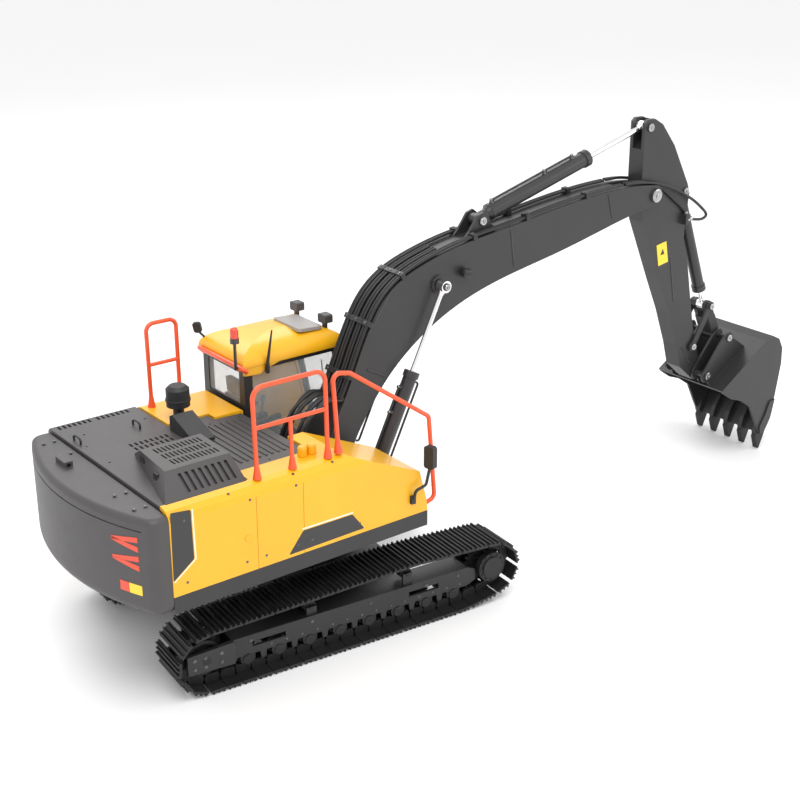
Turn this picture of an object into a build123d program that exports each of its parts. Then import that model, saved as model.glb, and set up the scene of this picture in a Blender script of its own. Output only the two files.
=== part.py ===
from build123d import *
import os
from math import asin, atan2, cos, degrees, hypot, pi, radians, sin

os.makedirs("parts", exist_ok=True)

# ---------------------------------------------------------------- driving dimensions, mm
SHIFT_X = -165.5          # moves the swing axis so that the origin is the box centre
REST_SWING = 5.67         # upper structure turned to the left of the tracks at rest, degrees

# undercarriage, track axes
TRACK_Y = 72.55           # centre of one shoe
SHOE_HALF = 18.75
SHOES = 49
LINK_IN = 3.2             # link edge inside the pin line, wheel side
SHOE_TOP = 4.6
GROUSER = 6.3             # pin line to grouser tip
IDLER = (-119.0, 24.3, 18.0)
FRONT_ROLLER = (88.0, 15.5, 9.2)
SPROCKET = (117.0, 28.3, 17.0)
CARRIER = (45.0, 40.2, 8.2)
ROLLER_R = 5.7
RING_TEETH = 64
PINION_TEETH = 12
GEAR_MODULE = 1.0
RING_Z = (52.0, 57.4)
PINION_X = -38.0

# upper structure
BODY_Y = 88.0
BODY_REAR = -155.5
BODY_FRONT = 52.5
DECK_Z = (77.3, 80.0)
SKIRT_TOP = 89.1
HOOD_Z = (145.0, 149.0)
TAIL_R = 188.5
WALL = 2.4
CAB_Y = (28.5, 86.5)
CAB_X = (-26.0, 66.0)
CAB_TOP = 182.0
RAIL_R = 1.6

# front linkage pivots (x, z)
BOOM_FOOT = (20.0, 104.0)
BOOM_CYL_BASE = (52.0, 86.0)
BOOM_CYL_EYE = (121.4, 228.4)
ARM_PIVOT = (356.5, 261.9)
ARM_CYL_BASE = (170.0, 268.0)
ARM_CYL_EYE = (351.5, 318.5)
BUCKET_CYL_BASE = (401.0, 258.0)
ROCKER_PIVOT = (424.5, 111.6)
LINK_PIN = (444.9, 145.8)
BUCKET_PIVOT = (433.1, 84.8)
BUCKET_LINK = (459.0, 116.0)
BOOM_HALF = 14.0
ARM_HALF = 8.0
CYL_Y = 20.5
PIN_GAP = 0.05            # radial clearance of a turning pin


# ---------------------------------------------------------------- shape helpers
def prism_y(points, y0, y1):
    face = make_face(Polyline(*points, close=True))
    return extrude(Plane.XZ.offset(-y1) * face, y1 - y0)


def prism_x(points, x0, x1):
    face = make_face(Polyline(*points, close=True))
    return extrude(Plane.YZ.offset(x0) * face, x1 - x0)


def prism_z(points, z0, z1):
    face = make_face(Polyline(*points, close=True))
    return extrude(Plane.XY.offset(z0) * face, z1 - z0)


def box(x0, x1, y0, y1, z0, z1):
    return Pos((x0 + x1) / 2, (y0 + y1) / 2, (z0 + z1) / 2) * Box(x1 - x0, y1 - y0, z1 - z0)


def cyl_y(centre, r, y0, y1):
    return extrude(Plane.XZ.offset(-y1) * Pos(centre[0], centre[1]) * Circle(r), y1 - y0)


def cyl_z(x, y, r, z0, z1):
    return extrude(Plane.XY.offset(z0) * Pos(x, y) * Circle(r), z1 - z0)


def bar(p, q, r):
    a = Vector(*p)
    d = Vector(*q) - a
    return extrude(Plane(origin=a, z_dir=d) * Circle(r), d.length)


def cone(p, q, r0, r1):
    a = Vector(*p)
    d = Vector(*q) - a
    return Plane(origin=a, z_dir=d) * Pos(0, 0, d.length / 2) * Cone(r0, r1, d.length)


def both_sides(make):
    return [make(1), make(-1)]


def slab_y(points, s, y0, y1):
    """prism between y0 and y1 on the left (s = 1) or its mirror on the right (s = -1)"""
    return prism_y(points, min(s * y0, s * y1), max(s * y0, s * y1))


def disc_y(centre, r, s, y0, y1):
    return cyl_y(centre, r, min(s * y0, s * y1), max(s * y0, s * y1))


def bent_path(points, radius):
    """straight runs joined by tangent arcs"""
    pts = [Vector(*p) for p in points]
    edges = []
    start = pts[0]
    for before, here, after in zip(pts, pts[1:], pts[2:]):
        u = (before - here).normalized()
        v = (after - here).normalized()
        half = u.get_angle(v) / 2
        if half > 89:
            continue
        cut = radius / (sin(radians(half)) / cos(radians(half)))
        a = here + u * cut
        b = here + v * cut
        middle = (u + v).normalized()
        centre = here + middle * (radius / sin(radians(half)))
        edges.append(Edge.make_line(start, a))
        edges.append(Edge.make_three_point_arc(a, centre - middle * radius, b))
        start = b
    edges.append(Edge.make_line(start, pts[-1]))
    return Wire(edges)


def tube(points, r, radius):
    path = bent_path(points, radius)
    return sweep(Plane(origin=path @ 0, z_dir=path % 0) * Circle(r), path=path)


def along(p, q, t):
    return (p[0] + (q[0] - p[0]) * t, p[1] + (q[1] - p[1]) * t)


def unit(p, q):
    d = hypot(q[0] - p[0], q[1] - p[1])
    return (q[0] - p[0]) / d, (q[1] - p[1]) / d


def above(points, d):
    """offset an outline to its left by d"""
    out = []
    for i, p in enumerate(points):
        a = points[max(i - 1, 0)]
        b = points[min(i + 1, len(points) - 1)]
        ux, uz = unit(a, b)
        out.append((p[0] - d * uz, p[1] + d * ux))
    return out


def in_xz(points):
    return [(x, 0, z) for x, z in points]


def save(name, *solids):
    flat = []
    for s in solids:
        flat += s if isinstance(s, list) else [s]
    flat = [piece for s in flat for piece in s.solids()]
    shape = Pos(SHIFT_X, 0, 0) * (flat[0] if len(flat) == 1 else Compound(flat))
    export_step(shape, "parts/" + name + ".step")
    b = shape.bounding_box()
    print(f"{name:20s} {len(flat):4d} {b.min.X:8.1f} {b.max.X:8.1f} {b.min.Y:8.1f}"
          f" {b.max.Y:8.1f} {b.min.Z:7.1f} {b.max.Z:7.1f}")


def save_low(name, *solids):
    """undercarriage pieces are drawn in track axes"""
    flat = []
    for s in solids:
        flat += s if isinstance(s, list) else [s]
    save(name, [Rot(0, 0, -REST_SWING) * s for s in flat])


# ---------------------------------------------------------------- track belt path
def belt_segments():
    wheels = [IDLER, FRONT_ROLLER, SPROCKET, CARRIER]
    heads = []
    for a, b in zip(wheels, wheels[1:] + wheels[:1]):
        d = hypot(b[0] - a[0], b[1] - a[1])
        heads.append(atan2(b[1] - a[1], b[0] - a[0]) + asin((a[2] - b[2]) / d))
    out = []
    for i, a in enumerate(wheels):
        b = wheels[(i + 1) % 4]
        t = heads[i]
        p = (a[0] + a[2] * sin(t), a[1] - a[2] * cos(t))
        q = (b[0] + b[2] * sin(t), b[1] - b[2] * cos(t))
        out.append(("line", p, t, hypot(q[0] - p[0], q[1] - p[1])))
        turn = (heads[(i + 1) % 4] - t) % (2 * pi)
        out.append(("arc", b, t, b[2] * turn))
    return out


def belt_point(s):
    for kind, at, t, length in belt_segments():
        if s <= length:
            if kind == "line":
                return at[0] + s * cos(t), at[1] + s * sin(t)
            t += s / at[2]
            return at[0] + at[2] * sin(t), at[1] - at[2] * cos(t)
        s -= length
    return belt_point(0)


BELT = sum(seg[3] for seg in belt_segments())
PITCH = BELT / SHOES
print("belt length", round(BELT, 2), "pitch", round(PITCH, 3))
PINS = [belt_point(PITCH * i) for i in range(SHOES)]


def on_link(i, points):
    """points (along, outward) on link i"""
    p = PINS[i]
    q = PINS[(i + 1) % SHOES]
    tx, tz = unit(p, q)
    mx, mz = along(p, q, 0.5)
    return [(mx + a * tx + b * tz, mz + a * tz - b * tx) for a, b in points]


LINK = [(-4.0, -LINK_IN), (4.0, -LINK_IN), (5.5, -0.8), (5.5, 1.2), (4.6, LINK_IN),
        (-4.6, LINK_IN), (-5.5, 1.2), (-5.5, -0.8)]
SHOE = [(-5.6, LINK_IN), (5.6, LINK_IN), (5.6, SHOE_TOP), (4.5, SHOE_TOP), (4.2, GROUSER),
        (3.3, GROUSER), (3.0, SHOE_TOP), (0.6, SHOE_TOP), (0.4, GROUSER - 0.2),
        (-0.4, GROUSER - 0.2), (-0.6, SHOE_TOP), (-3.0, SHOE_TOP), (-3.3, GROUSER),
        (-4.2, GROUSER), (-4.5, SHOE_TOP), (-5.6, SHOE_TOP)]


def track_links(yc):
    out = []
    for i in range(SHOES):
        for s in (1, -1):
            out.append(slab_y(on_link(i, LINK), 1, yc + s * 6.2 - 1.2, yc + s * 6.2 + 1.2))
        out.append(cyl_y(PINS[i], 1.5, yc - 4.9, yc + 4.9))
    return out


def track_shoes(yc):
    return [prism_y(on_link(i, SHOE), yc - SHOE_HALF, yc + SHOE_HALF) for i in range(SHOES)]


# ---------------------------------------------------------------- undercarriage
FRAME_SIDE = [(-98, 17), (97, 17), (104, 20), (104, 29), (97, 32), (-98, 32)]
YOKE = [(-133, 17.0), (-98, 16.0), (-98, 33.0), (-133, 31.4)]


def track_frame(s):
    yc = s * TRACK_Y
    beam = prism_y(FRAME_SIDE, yc - 10.5, yc + 10.5)
    beam -= prism_y([(-94, 14), (95.4, 14), (95.4, 29.5), (-94, 29.5)], yc - 8.3, yc + 8.3)
    parts = beam
    for side in (1, -1):
        parts += prism_y(YOKE, yc + side * 12.8 - 1.6, yc + side * 12.8 + 1.6)
        parts += box(-103, -97, min(yc + side * 10.2, yc + side * 14), max(yc + side * 10.2, yc + side * 14),
                     17.4, 30.7)
    # inner flange that carries the travel motor
    inner = yc - s * 12.0
    parts += box(100, 112, min(inner, inner + s * 3.0), max(inner, inner + s * 3.0), 19, 37)
    parts += cyl_y(SPROCKET, 13.0, min(inner, inner + s * 3.0), max(inner, inner + s * 3.0))
    parts -= cyl_y(SPROCKET, 5.05, yc - 16, yc + 16)
    parts += box(96, 104, min(inner, yc), max(inner, yc), 19, 29)
    parts -= cyl_y(SPROCKET, 15.6, yc - 2.6, yc + 2.6)
    # bearing holes of the idler
    parts -= cyl_y(IDLER, 3.05, yc - 20, yc + 20)
    # brackets for the carrier rollers and cut-outs on the outer face
    for x, z in ((CARRIER[0], CARRIER[1]), (-35.0, 36.8)):
        parts += box(x - 4, x + 4, min(yc + s * 6.4, yc + s * 8.4), max(yc + s * 6.4, yc + s * 8.4), 31, z + 1)
        parts -= cyl_y((x, z), 1.55, yc - 20, yc + 20)
    for i in range(7):
        x = 71.8 - 24.4 * i
        parts += prism_y([(x - 2.6, 17.2), (x + 2.6, 17.2), (x + 1.8, 11.5), (x - 1.8, 11.5)], yc + 8.4, yc + 10.5)
        parts += prism_y([(x - 2.6, 17.2), (x + 2.6, 17.2), (x + 1.8, 11.5), (x - 1.8, 11.5)], yc - 10.5, yc - 8.4)
    for x in (-70, 58):
        parts -= prism_y([(x - 13, 22.5), (x + 13, 22.5), (x + 13, 26.5), (x - 13, 26.5)], yc - 12, yc + 12)
    return parts


def lower_roller(x, yc):
    z = 9.5 + ROLLER_R + 0.2
    out = cyl_y((x, z), ROLLER_R, yc - 8.2, yc - 4.6)
    out += cyl_y((x, z), ROLLER_R, yc + 4.6, yc + 8.2)
    out += cyl_y((x, z), ROLLER_R + 0.9, yc - 4.6, yc - 2.6)
    out += cyl_y((x, z), ROLLER_R + 0.9, yc + 2.6, yc + 4.6)
    out += cyl_y((x, z), 3.6, yc - 8.2, yc + 8.2)
    for s in (1, -1):
        ends = [(x - 4.6, 11.4), (x + 4.6, 11.4), (x + 5.6, 13.5), (x + 5.6, 16.9), (x - 5.6, 16.9), (x - 5.6, 13.5)]
        out += slab_y(ends, 1, yc + s * 9.45 - 1.15, yc + s * 9.45 + 1.15)
        out += cyl_y((x, z), 1.5, yc + s * 9.0 - 2.6, yc + s * 9.0 + 2.6)
        out += disc_y((x, z - 1.6), 3.7, 1, yc + s * 10.9 - 0.5, yc + s * 10.9 + 0.5)
    return out


rollers = []
for side in (1, -1):
    for i in range(8):
        rollers.append(lower_roller(84.0 - 24.4 * i, side * TRACK_Y))

carriers = []
for side in (1, -1):
    yc = side * TRACK_Y
    for centre in ((CARRIER[0], CARRIER[1]), (-35.0, 36.8)):
        roller = cyl_y(centre, 4.55, yc - 5.9, yc + 5.9)
        roller += cyl_y(centre, 1.5, min(yc, yc + side * 8.8), max(yc, yc + side * 8.8))
        carriers.append(roller)


def sprocket(s):
    yc = s * TRACK_Y
    teeth = []
    for i in range(21):
        for part, r in ((0.0, 12.9), (0.2, 12.9), (0.38, 14.9), (0.62, 14.9), (0.8, 12.9)):
            t = 2 * pi * (i + part) / 21
            teeth.append((SPROCKET[0] + r * cos(t), SPROCKET[1] + r * sin(t)))
    out = prism_y(teeth, yc - 2.0, yc + 2.0)
    for i in range(5):
        t = 2 * pi * i / 5
        out -= cyl_y((SPROCKET[0] + 8.8 * cos(t), SPROCKET[1] + 8.8 * sin(t)), 1.6, yc - 3, yc + 3)
    out += disc_y(SPROCKET, 6.2, s, s * yc - 8.6, s * yc + 9.0)
    out += disc_y(SPROCKET, 11.6, s, s * yc + 9.0, s * yc + 14.0)
    out += disc_y(SPROCKET, 8.4, s, s * yc + 14.0, s * yc + 15.4)
    for i in range(12):
        t = 2 * pi * i / 12
        out += disc_y((SPROCKET[0] + 10.0 * cos(t), SPROCKET[1] + 10.0 * sin(t)), 0.8, s, s * yc + 13.9, s * yc + 14.8)
    # journal in the inner flange
    out += disc_y(SPROCKET, 5.0, s, s * yc - 12.4, s * yc - 8.6)
    return out


def idler(s):
    yc = s * TRACK_Y
    out = cyl_y(IDLER, 13.0, yc - 9.0, yc + 9.0)
    out += cyl_y(IDLER, 15.4, yc - 4.0, yc + 4.0)
    for side in (1, -1):
        ring = disc_y(IDLER, 10.6, 1, yc + side * 8.0 - 1.4, yc + side * 8.0 + 1.4)
        ring -= disc_y(IDLER, 5.6, 1, yc + side * 8.0 - 1.4, yc + side * 8.0 + 1.4)
        out -= ring
    out += cyl_y(IDLER, 3.0, yc - 14.6, yc + 14.6)
    return out


def travel_motor(s):
    yc = s * TRACK_Y
    out = disc_y(SPROCKET, 9.4, s, s * yc - 22.6, s * yc - 12.0)
    out += disc_y(SPROCKET, 7.0, s, s * yc - 24.6, s * yc - 22.6)
    out -= disc_y(SPROCKET, 5.3, s, s * yc - 13.4, s * yc - 11.9)
    return out


FLARE = [(44, 30), (62.2, 22), (62.2, 30), (44, 45)]
car_body = box(-46, 46, -44, 44, 28, 46)
car_body += cyl_z(0, 0, 41, 46, 49)
car_body += cyl_z(0, 0, 35, 49, 52)
for sx in (1, -1):
    for sy in (1, -1):
        leg = [(sy * y, z) for y, z in FLARE]
        car_body += prism_x(leg, min(sx * 22, sx * 46), max(sx * 22, sx * 46))
car_body -= cyl_z(0, 0, 24.0, 44, 53)
car_body -= box(-40, 40, -38, 38, 30, 42)
car_body -= box(-14, 14, -30, 30, 27, 31)
for sx in (1, -1):
    for sy in (1, -1):
        car_body += box(sx * 24 - 2, sx * 24 + 2, sy * 28 - 10, sy * 28 + 10, 29, 43)


def gear_points(count, module, r_in, r_out, backlash):
    """involute flanks between the root and the tip"""
    pitch_r = count * module / 2
    base_r = pitch_r * cos(radians(20))
    roll = (pitch_r ** 2 / base_r ** 2 - 1) ** 0.5 - radians(20)
    half = pi / (2 * count) - backlash / pitch_r + roll
    out = []
    for i in range(count):
        mid = 2 * pi * i / count
        flank = []
        for k in range(4):
            r = max(base_r, r_in) + (r_out - max(base_r, r_in)) * k / 3
            inv = (r ** 2 / base_r ** 2 - 1) ** 0.5 - atan2((r ** 2 - base_r ** 2) ** 0.5, base_r)
            flank.append((r, half - inv))
        flank = [(r_in, half + 0.12 / pitch_r)] + flank
        out += [(r * cos(mid - a), r * sin(mid - a)) for r, a in flank]
        out += [(r * cos(mid + a), r * sin(mid + a)) for r, a in reversed(flank)]
    return out


RING_R = RING_TEETH * GEAR_MODULE / 2
PINION_R = PINION_TEETH * GEAR_MODULE / 2
ring = prism_z(gear_points(RING_TEETH, GEAR_MODULE, RING_R - 1.25, RING_R + 0.95, 0.06), *RING_Z)
ring -= cyl_z(0, 0, 27.0, RING_Z[0] - 1, RING_Z[1] + 1)
for i in range(16):
    t = 2 * pi * i / 16
    ring -= cyl_z(28.9 * cos(t), 28.9 * sin(t), 0.7, RING_Z[1] - 2, RING_Z[1] + 1)

FRAMES = [track_frame(1), track_frame(-1)]
for frame in FRAMES:
    car_body -= frame
save_low("car_body", car_body)
save_low("slew_ring_gear", ring)
save_low("track_frame_left", FRAMES[0])
save_low("track_frame_right", FRAMES[1])
save_low("track_links_left", track_links(TRACK_Y))
save_low("track_links_right", track_links(-TRACK_Y))
save_low("track_shoes_left", track_shoes(TRACK_Y))
save_low("track_shoes_right", track_shoes(-TRACK_Y))
save_low("lower_rollers", rollers)
save_low("carrier_rollers", carriers)
save_low("final_drives", travel_motor(1), travel_motor(-1))
save_low("sprocket_left", sprocket(1))
save_low("sprocket_right", sprocket(-1))
save_low("idler_left", idler(1))
save_low("idler_right", idler(-1))

# ---------------------------------------------------------------- turntable and deck
deck = box(BODY_REAR, BODY_FRONT, -BODY_Y, BODY_Y, *DECK_Z)
rim = box(BODY_REAR, BODY_FRONT, -BODY_Y, BODY_Y, DECK_Z[1] - 0.5, SKIRT_TOP)
rim -= box(BODY_REAR - 1, BODY_FRONT - 2, -BODY_Y + 2, BODY_Y - 2, DECK_Z[1] - 1, SKIRT_TOP + 1)
rim -= box(45, BODY_FRONT + 1, -30, BODY_Y - 2, DECK_Z[1], SKIRT_TOP + 1)
deck += rim
deck += box(BODY_REAR, BODY_REAR + 3, -84, 84, DECK_Z[1] - 0.5, SKIRT_TOP - 1)
deck += cyl_z(0, 0, 34.0, 66.0, DECK_Z[0] + 0.5)
deck += cyl_z(0, 0, 31.0, 57.7, 66.5)
deck += cyl_z(0, 0, 26.95, 52.3, 58.0)
deck -= cyl_z(0, 0, 18.0, 50, 74)
deck -= cyl_z(PINION_X, 0, 2.6, 70, 90)
FOOT_PLATE = [(-30, 80), (46, 80), (44, 92), (30, 112), (24, 116), (14, 115), (6, 106), (-24, 88)]
BASE_LUG = [(38, 79), (54, 79), (58.4, 84), (57.5, 89.5), (53, 92.6), (48.5, 91.5), (40, 84)]
for s in (1, -1):
    deck -= slab_y([(43.4, 70), (60, 70), (60, 95), (43.4, 95)], s, 15.9, 25.1)
    deck += slab_y(FOOT_PLATE, s, 14.4, 16.4)
    deck += disc_y(BOOM_FOOT, 7.5, s, 14.4, 17.4)
    deck += slab_y(BASE_LUG, s, 14.4, 15.9)
    deck += slab_y(BASE_LUG, s, 25.1, 26.8)
    deck += disc_y(BOOM_CYL_BASE, 3.4, s, 26.8, 27.9)
    deck += slab_y([(34, 79.5), (42.6, 79.5), (41.6, 83), (34, 83)], s, 14.4, 26.8)
deck += cyl_y(BOOM_FOOT, 3.0, -18.2, 18.2)
deck += box(-30, -27, -15, 15, 79.5, 88)

# ---------------------------------------------------------------- drives and electronics
swing_motor = cyl_z(PINION_X, 0, 8.0, 83, 104) + cyl_z(PINION_X, 0, 10.5, 80, 83)
swing_motor += cyl_z(PINION_X, 0, 6.0, 104, 108)
swing_motor -= cyl_z(PINION_X, 0, 3.0, 79, 84)
for i in range(4):
    t = pi / 4 + pi * i / 2
    swing_motor += cyl_z(PINION_X + 8.9 * cos(t), 8.9 * sin(t), 1.0, 83, 84.2)

deck -= swing_motor
deck -= box(CAB_X[0] - 0.5, 67, CAB_Y[0] - 0.3, CAB_Y[1] + 0.5, DECK_Z[1], SKIRT_TOP + 1)

pinion = Pos(PINION_X, 0, 0) * prism_z(
    gear_points(PINION_TEETH, GEAR_MODULE, PINION_R - 1.2, PINION_R + 0.9, 0.06),
    RING_Z[0] + 0.3, RING_Z[1] - 0.2)
PINION_TURN = 180.0 / PINION_TEETH
pinion = Pos(PINION_X, 0, 0) * Rot(0, 0, PINION_TURN) * Pos(-PINION_X, 0, 0) * pinion
pinion += cyl_z(PINION_X, 0, 2.0, RING_Z[1] - 0.5, 82.5)

battery = box(-142, -94, -30, 30, 80, 110)
battery = fillet(battery.edges().filter_by(Axis.Z), 3)
battery += box(-142, -94, -22, -8, 110, 111.2)
battery += bar((-94, 10, 98), (-89, 10, 98), 2.2)

board = box(-86, -52, -30, 30, 84, 85.6)
for x in (-83, -55):
    for y in (-27, 27):
        board += cyl_z(x, y, 1.8, 80, 84.1)
for x, y, a, b, h in ((-74, -16, 14, 14, 4), (-66, 12, 18, 10, 6), (-80, 20, 6, 10, 8), (-60, -10, 6, 24, 5)):
    board += box(x - a / 2, x + a / 2, y - b / 2, y + b / 2, 85.4, 85.6 + h)

# ---------------------------------------------------------------- body panels
SHOULDER = [(88, SKIRT_TOP), (88, 141), (87, 145.5), (84, 148.6), (79, 150), (26, 150), (26, SKIRT_TOP)]
SIDE_RIGHT = [(BODY_REAR, SKIRT_TOP), (BODY_FRONT, SKIRT_TOP), (51.6, 98), (45.2, 121.8), (-17, 150),
              (BODY_REAR, 150)]
INNER_RIGHT = [(BODY_REAR - 1, SKIRT_TOP - 1), (BODY_FRONT - WALL, SKIRT_TOP - 1), (49.2, 97.5),
               (43.2, 120.2), (-17.6, 150 - WALL), (BODY_REAR - 1, 150 - WALL)]


def shoulder(s, grow):
    return [(s * (y - (grow if y > 30 else -grow)), z - (grow if z > 100 else grow and grow + 1))
            for y, z in SHOULDER]


def body_shell(s, side, inner, y_in, x_end):
    x0 = min(p[0] for p in side)
    x1 = max(p[0] for p in side)
    outer = slab_y(side, s, y_in, BODY_Y) & prism_x(shoulder(s, 0), x0, x1)
    hollow = slab_y(inner, s, y_in + WALL, BODY_Y - WALL) & prism_x(shoulder(s, WALL), x0 - 2, x1 - 1)
    return outer - hollow


right = body_shell(-1, SIDE_RIGHT, INNER_RIGHT, 33, BODY_FRONT)
right -= box(-160, -90, -77, -20, 80, 160)
right -= box(-91, -30, -62, -20, 80, 160)
for x in (-91.3, -54.4):
    right -= box(x - 0.2, x + 0.2, -88.5, -87.6, SKIRT_TOP, 142)
right += disc_y((-98.7, 114.1), 2.3, -1, 87.8, 88.6)
SIDE_LEFT = [(BODY_REAR, SKIRT_TOP), (-29, SKIRT_TOP), (-29, 150), (BODY_REAR, 150)]
INNER_LEFT = [(BODY_REAR - 1, SKIRT_TOP - 1), (-29 - WALL, SKIRT_TOP - 1), (-29 - WALL, 150 - WALL),
              (BODY_REAR - 1, 150 - WALL)]
left = body_shell(1, SIDE_LEFT, INNER_LEFT, 27, -29)
left -= box(-160, -85, 20, 77, 80, 160)
left -= box(-160, -85, 20, 90, 142.5, 160)
left -= box(-86, -52, 20, 38, 80, 160)
left -= box(-52.5, -30, 20, 29, 80, 160)
for x in (-120, -86):
    left -= box(x - 0.25, x + 0.25, 87.5, 88.5, 92, 141)

# ---------------------------------------------------------------- hood, counterweight
HOOD_PLAN = [(-154.8, -76.4), (-90.4, -76.4), (-90.4, -61.6), (-31, -61.6), (-31, 26.4), (-52.9, 28.4),
             (-52.9, 37.6), (-85.4, 37.6), (-85.4, 76.4), (-86.4, 87.4), (-154.8, 87.4)]
hood = prism_z(HOOD_PLAN, *HOOD_Z)
hood = fillet(hood.edges().filter_by(Plane.XY).sort_by(Axis.Z)[-10:], 0.8)
hood -= prism_x([(84.5, 150), (88, 145.8), (88, 150)], -160, -80)
for i in range(14):
    gap = 3.0 if i > 6 else 0.0
    hood -= box(-150 + 3.9 * i + gap, -148.2 + 3.9 * i + gap, 78, 84, 144, 151)
for j in range(2):
    for i in range(8):
        hood -= box(-124 + 4.0 * i, -122.2 + 4.0 * i, 12 + 7.5 * j, 17.5 + 7.5 * j, 144, 151)
for i in range(9):
    hood += box(-79 + 5.0 * i, -77.4 + 5.0 * i, -50, 18, 148.8, 149.8)
hood -= box(-89.2, -71.4, -5.6, 29.6, 149.0, 151)
hood += box(-150, -92, 71.5, 73.5, 118, 146)
hood += box(-150, -92, -73.5, -71.5, 118, 146)

TAIL_CORNER = -167.5
tail = [(BODY_REAR - 0.3, -BODY_Y), (TAIL_CORNER, -BODY_Y)]
rear = ThreePointArc(tail[1], (-TAIL_R, 0), (tail[1][0], BODY_Y))
outline = Wire([Edge.make_line(tail[0], tail[1]), rear.edge(),
                Edge.make_line((tail[1][0], BODY_Y), (tail[0][0], BODY_Y)),
                Edge.make_line((tail[0][0], BODY_Y), tail[0])])
weight = extrude(Plane.XY.offset(76.5) * make_face(outline), 70.0)
weight = fillet(weight.edges().filter_by(Axis.Z).sort_by(Axis.X)[:2], 9)
weight = fillet(weight.edges().group_by(Axis.Z)[-1].filter_by(GeomType.CIRCLE), 5)
weight = fillet(weight.edges().group_by(Axis.Z)[0].filter_by(GeomType.CIRCLE), 9)
sag = TAIL_R + TAIL_CORNER
ARC_R = (BODY_Y ** 2 + sag ** 2) / (2 * sag)
band = cyl_z(ARC_R - TAIL_R, 0, ARC_R + 5, 137.2, 138.2) - cyl_z(ARC_R - TAIL_R, 0, ARC_R - 0.7, 136, 139)
weight -= band & box(-200, -150, -80, 80, 136, 140)
weight -= box(-172, BODY_REAR + 5, -70, 70, 84, 140)
weight += box(-174, -168, 20, 34, 146, 150.5) - cyl_y((-171, 147.6), 1.6, 19, 35)

# scoop over the cooling pack: a wedge with louvres on its right slope
scoop = Solid.make_loft([
    Wire(Polyline((-153, -79.5), (-92, -79.5), (-90, 6), (-128, 8), close=True).edges()).moved(Location((0, 0, 149.1))),
    Wire(Polyline((-140.5, -58), (-92, -58), (-90.5, -18), (-137, -18), close=True).edges()).moved(Location((0, 0, 163)))])
for i in range(8):
    x = -133.5 + 4.9 * i
    scoop -= prism_x([(-73.4, 150.4), (-60.4, 158.8), (-63.6, 163.6), (-76.8, 155.4)], x, x + 2.3)
for i in range(12):
    for j in range(3):
        scoop -= box(-130 + 3.0 * i, -128.7 + 3.0 * i, -52 + 11 * j, -44 + 11 * j, 160.2, 164)
scoop = (scoop - right).solids().sort_by(SortBy.VOLUME)[-1]

# exhaust outlet: open wedge duct
exhaust = prism_x([(-5, 149.1), (29, 149.1), (29, 160), (25, 162), (-5, 151.5)], -88.5, -72)
exhaust -= prism_x([(0, 150.8), (30, 150.8), (30, 158.6), (24.6, 160.0), (0, 151.2)], -86.7, -73.8)

cleaner = cyl_z(-73, 43.5, 4.0, 150.2, 161) + cyl_z(-73, 43.5, 8.6, 160, 173)
cleaner += cyl_z(-73, 43.5, 9.2, 164, 165.5) + cone((-73, 43.5, 173), (-73, 43.5, 175.5), 8.6, 6.0)
cleaner += cyl_z(-73, 43.5, 5.5, 150.05, 151.5)

# ---------------------------------------------------------------- cab
Y0, Y1 = CAB_Y
X0, X1 = CAB_X
CAB_SIDE = [(X0, 80), (62, 80), (68, 90), (72, 112), (58, CAB_TOP), (X0, CAB_TOP)]
cab = prism_y([(X0, 80), (62, 80), (66, 84.5), (X0, 84.5)], Y0, Y1)
for y0, y1 in ((Y0, Y0 + 3.0), (Y1 - 3.0, Y1)):
    cab += prism_y([(X0, 84), (X0 + 8, 84), (X0 + 7, CAB_TOP), (X0, CAB_TOP)], y0, y1 + (4 if y0 == Y0 else 0))
    cab += prism_y([(63.5, 84), (66, 84), (68.4, 90), (72, 112), (58, CAB_TOP), (53, CAB_TOP), (67, 112),
                    (64, 92)], y0, y1)
    cab += prism_y([(X0, CAB_TOP - 4), (58.8, CAB_TOP - 4), (58, CAB_TOP), (X0, CAB_TOP)], y0, y1)
cab += prism_y([(X0, 84), (66, 84), (68.4, 90), (71.3, 108), (X0, 122)], Y0, Y0 + 2.2)
cab += prism_y([(X0, 84), (12, 84), (12, 126), (X0, 126)], Y1 - 2.2, Y1)
cab += box(10, 13.6, Y1 - 3, Y1 - 0.2, 84, CAB_TOP - 3)
cab += box(10, 64, Y1 - 3, Y1, 84, 89.4)
cab += box(X0, X0 + 2.2, Y0, Y1, 84, 152)
cab += box(X0, X0 + 3, Y0, Y1, 177, CAB_TOP)
cab += prism_y([(53, 178), (58.8, 178), (58, CAB_TOP), (53, CAB_TOP)], Y0, Y1)
cab += prism_y([(62, 84), (66, 84), (68.4, 90), (69, 95), (66.5, 95)], Y0, Y1)
cab += box(X0, X0 + 4.5, Y1 - 7.5, Y1, 84, CAB_TOP)

ROOF_SIDE = [(-28, 182.2), (-27.4, 188), (-21, 193), (-7, 196.4), (16, 198), (38, 197.2), (54, 194), (61, 189),
             (62, 182.2)]
ROOF_FRONT = [(25.5, 182.2), (26.4, 187.5), (31.5, 193), (43, 196.8), (57, 198.2), (71, 197), (83, 193.2),
              (88, 187.5), (89, 182.2)]
side_face = make_face([Spline(*in_xz(ROOF_SIDE)), Polyline((62, 0, 182.2), (62, 0, 182), (-28, 0, 182),
                                                           (-28, 0, 182.2))])
front_face = make_face([Spline(*[(0, y, z) for y, z in ROOF_FRONT]),
                        Polyline((0, 89, 182.2), (0, 89, 182), (0, 25.5, 182), (0, 25.5, 182.2))])
roof = extrude(side_face, 100, both=True) & extrude(front_face, 100, both=True)
roof -= box(-22, 55, 31, 83.5, 181, 185)
roof += prism_y([(-27, 176.5), (-14, 175.6), (-6, 179.2), (8, 183), (8, 184), (-27, 184)], 25.7, 28.2)

hatch = Box(22, 36, 2.6)
hatch = Pos(37.5, 52, 197.3) * Rot(0, 4.5, 0) * fillet(hatch.edges().filter_by(Axis.Z), 3) - roof

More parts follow.
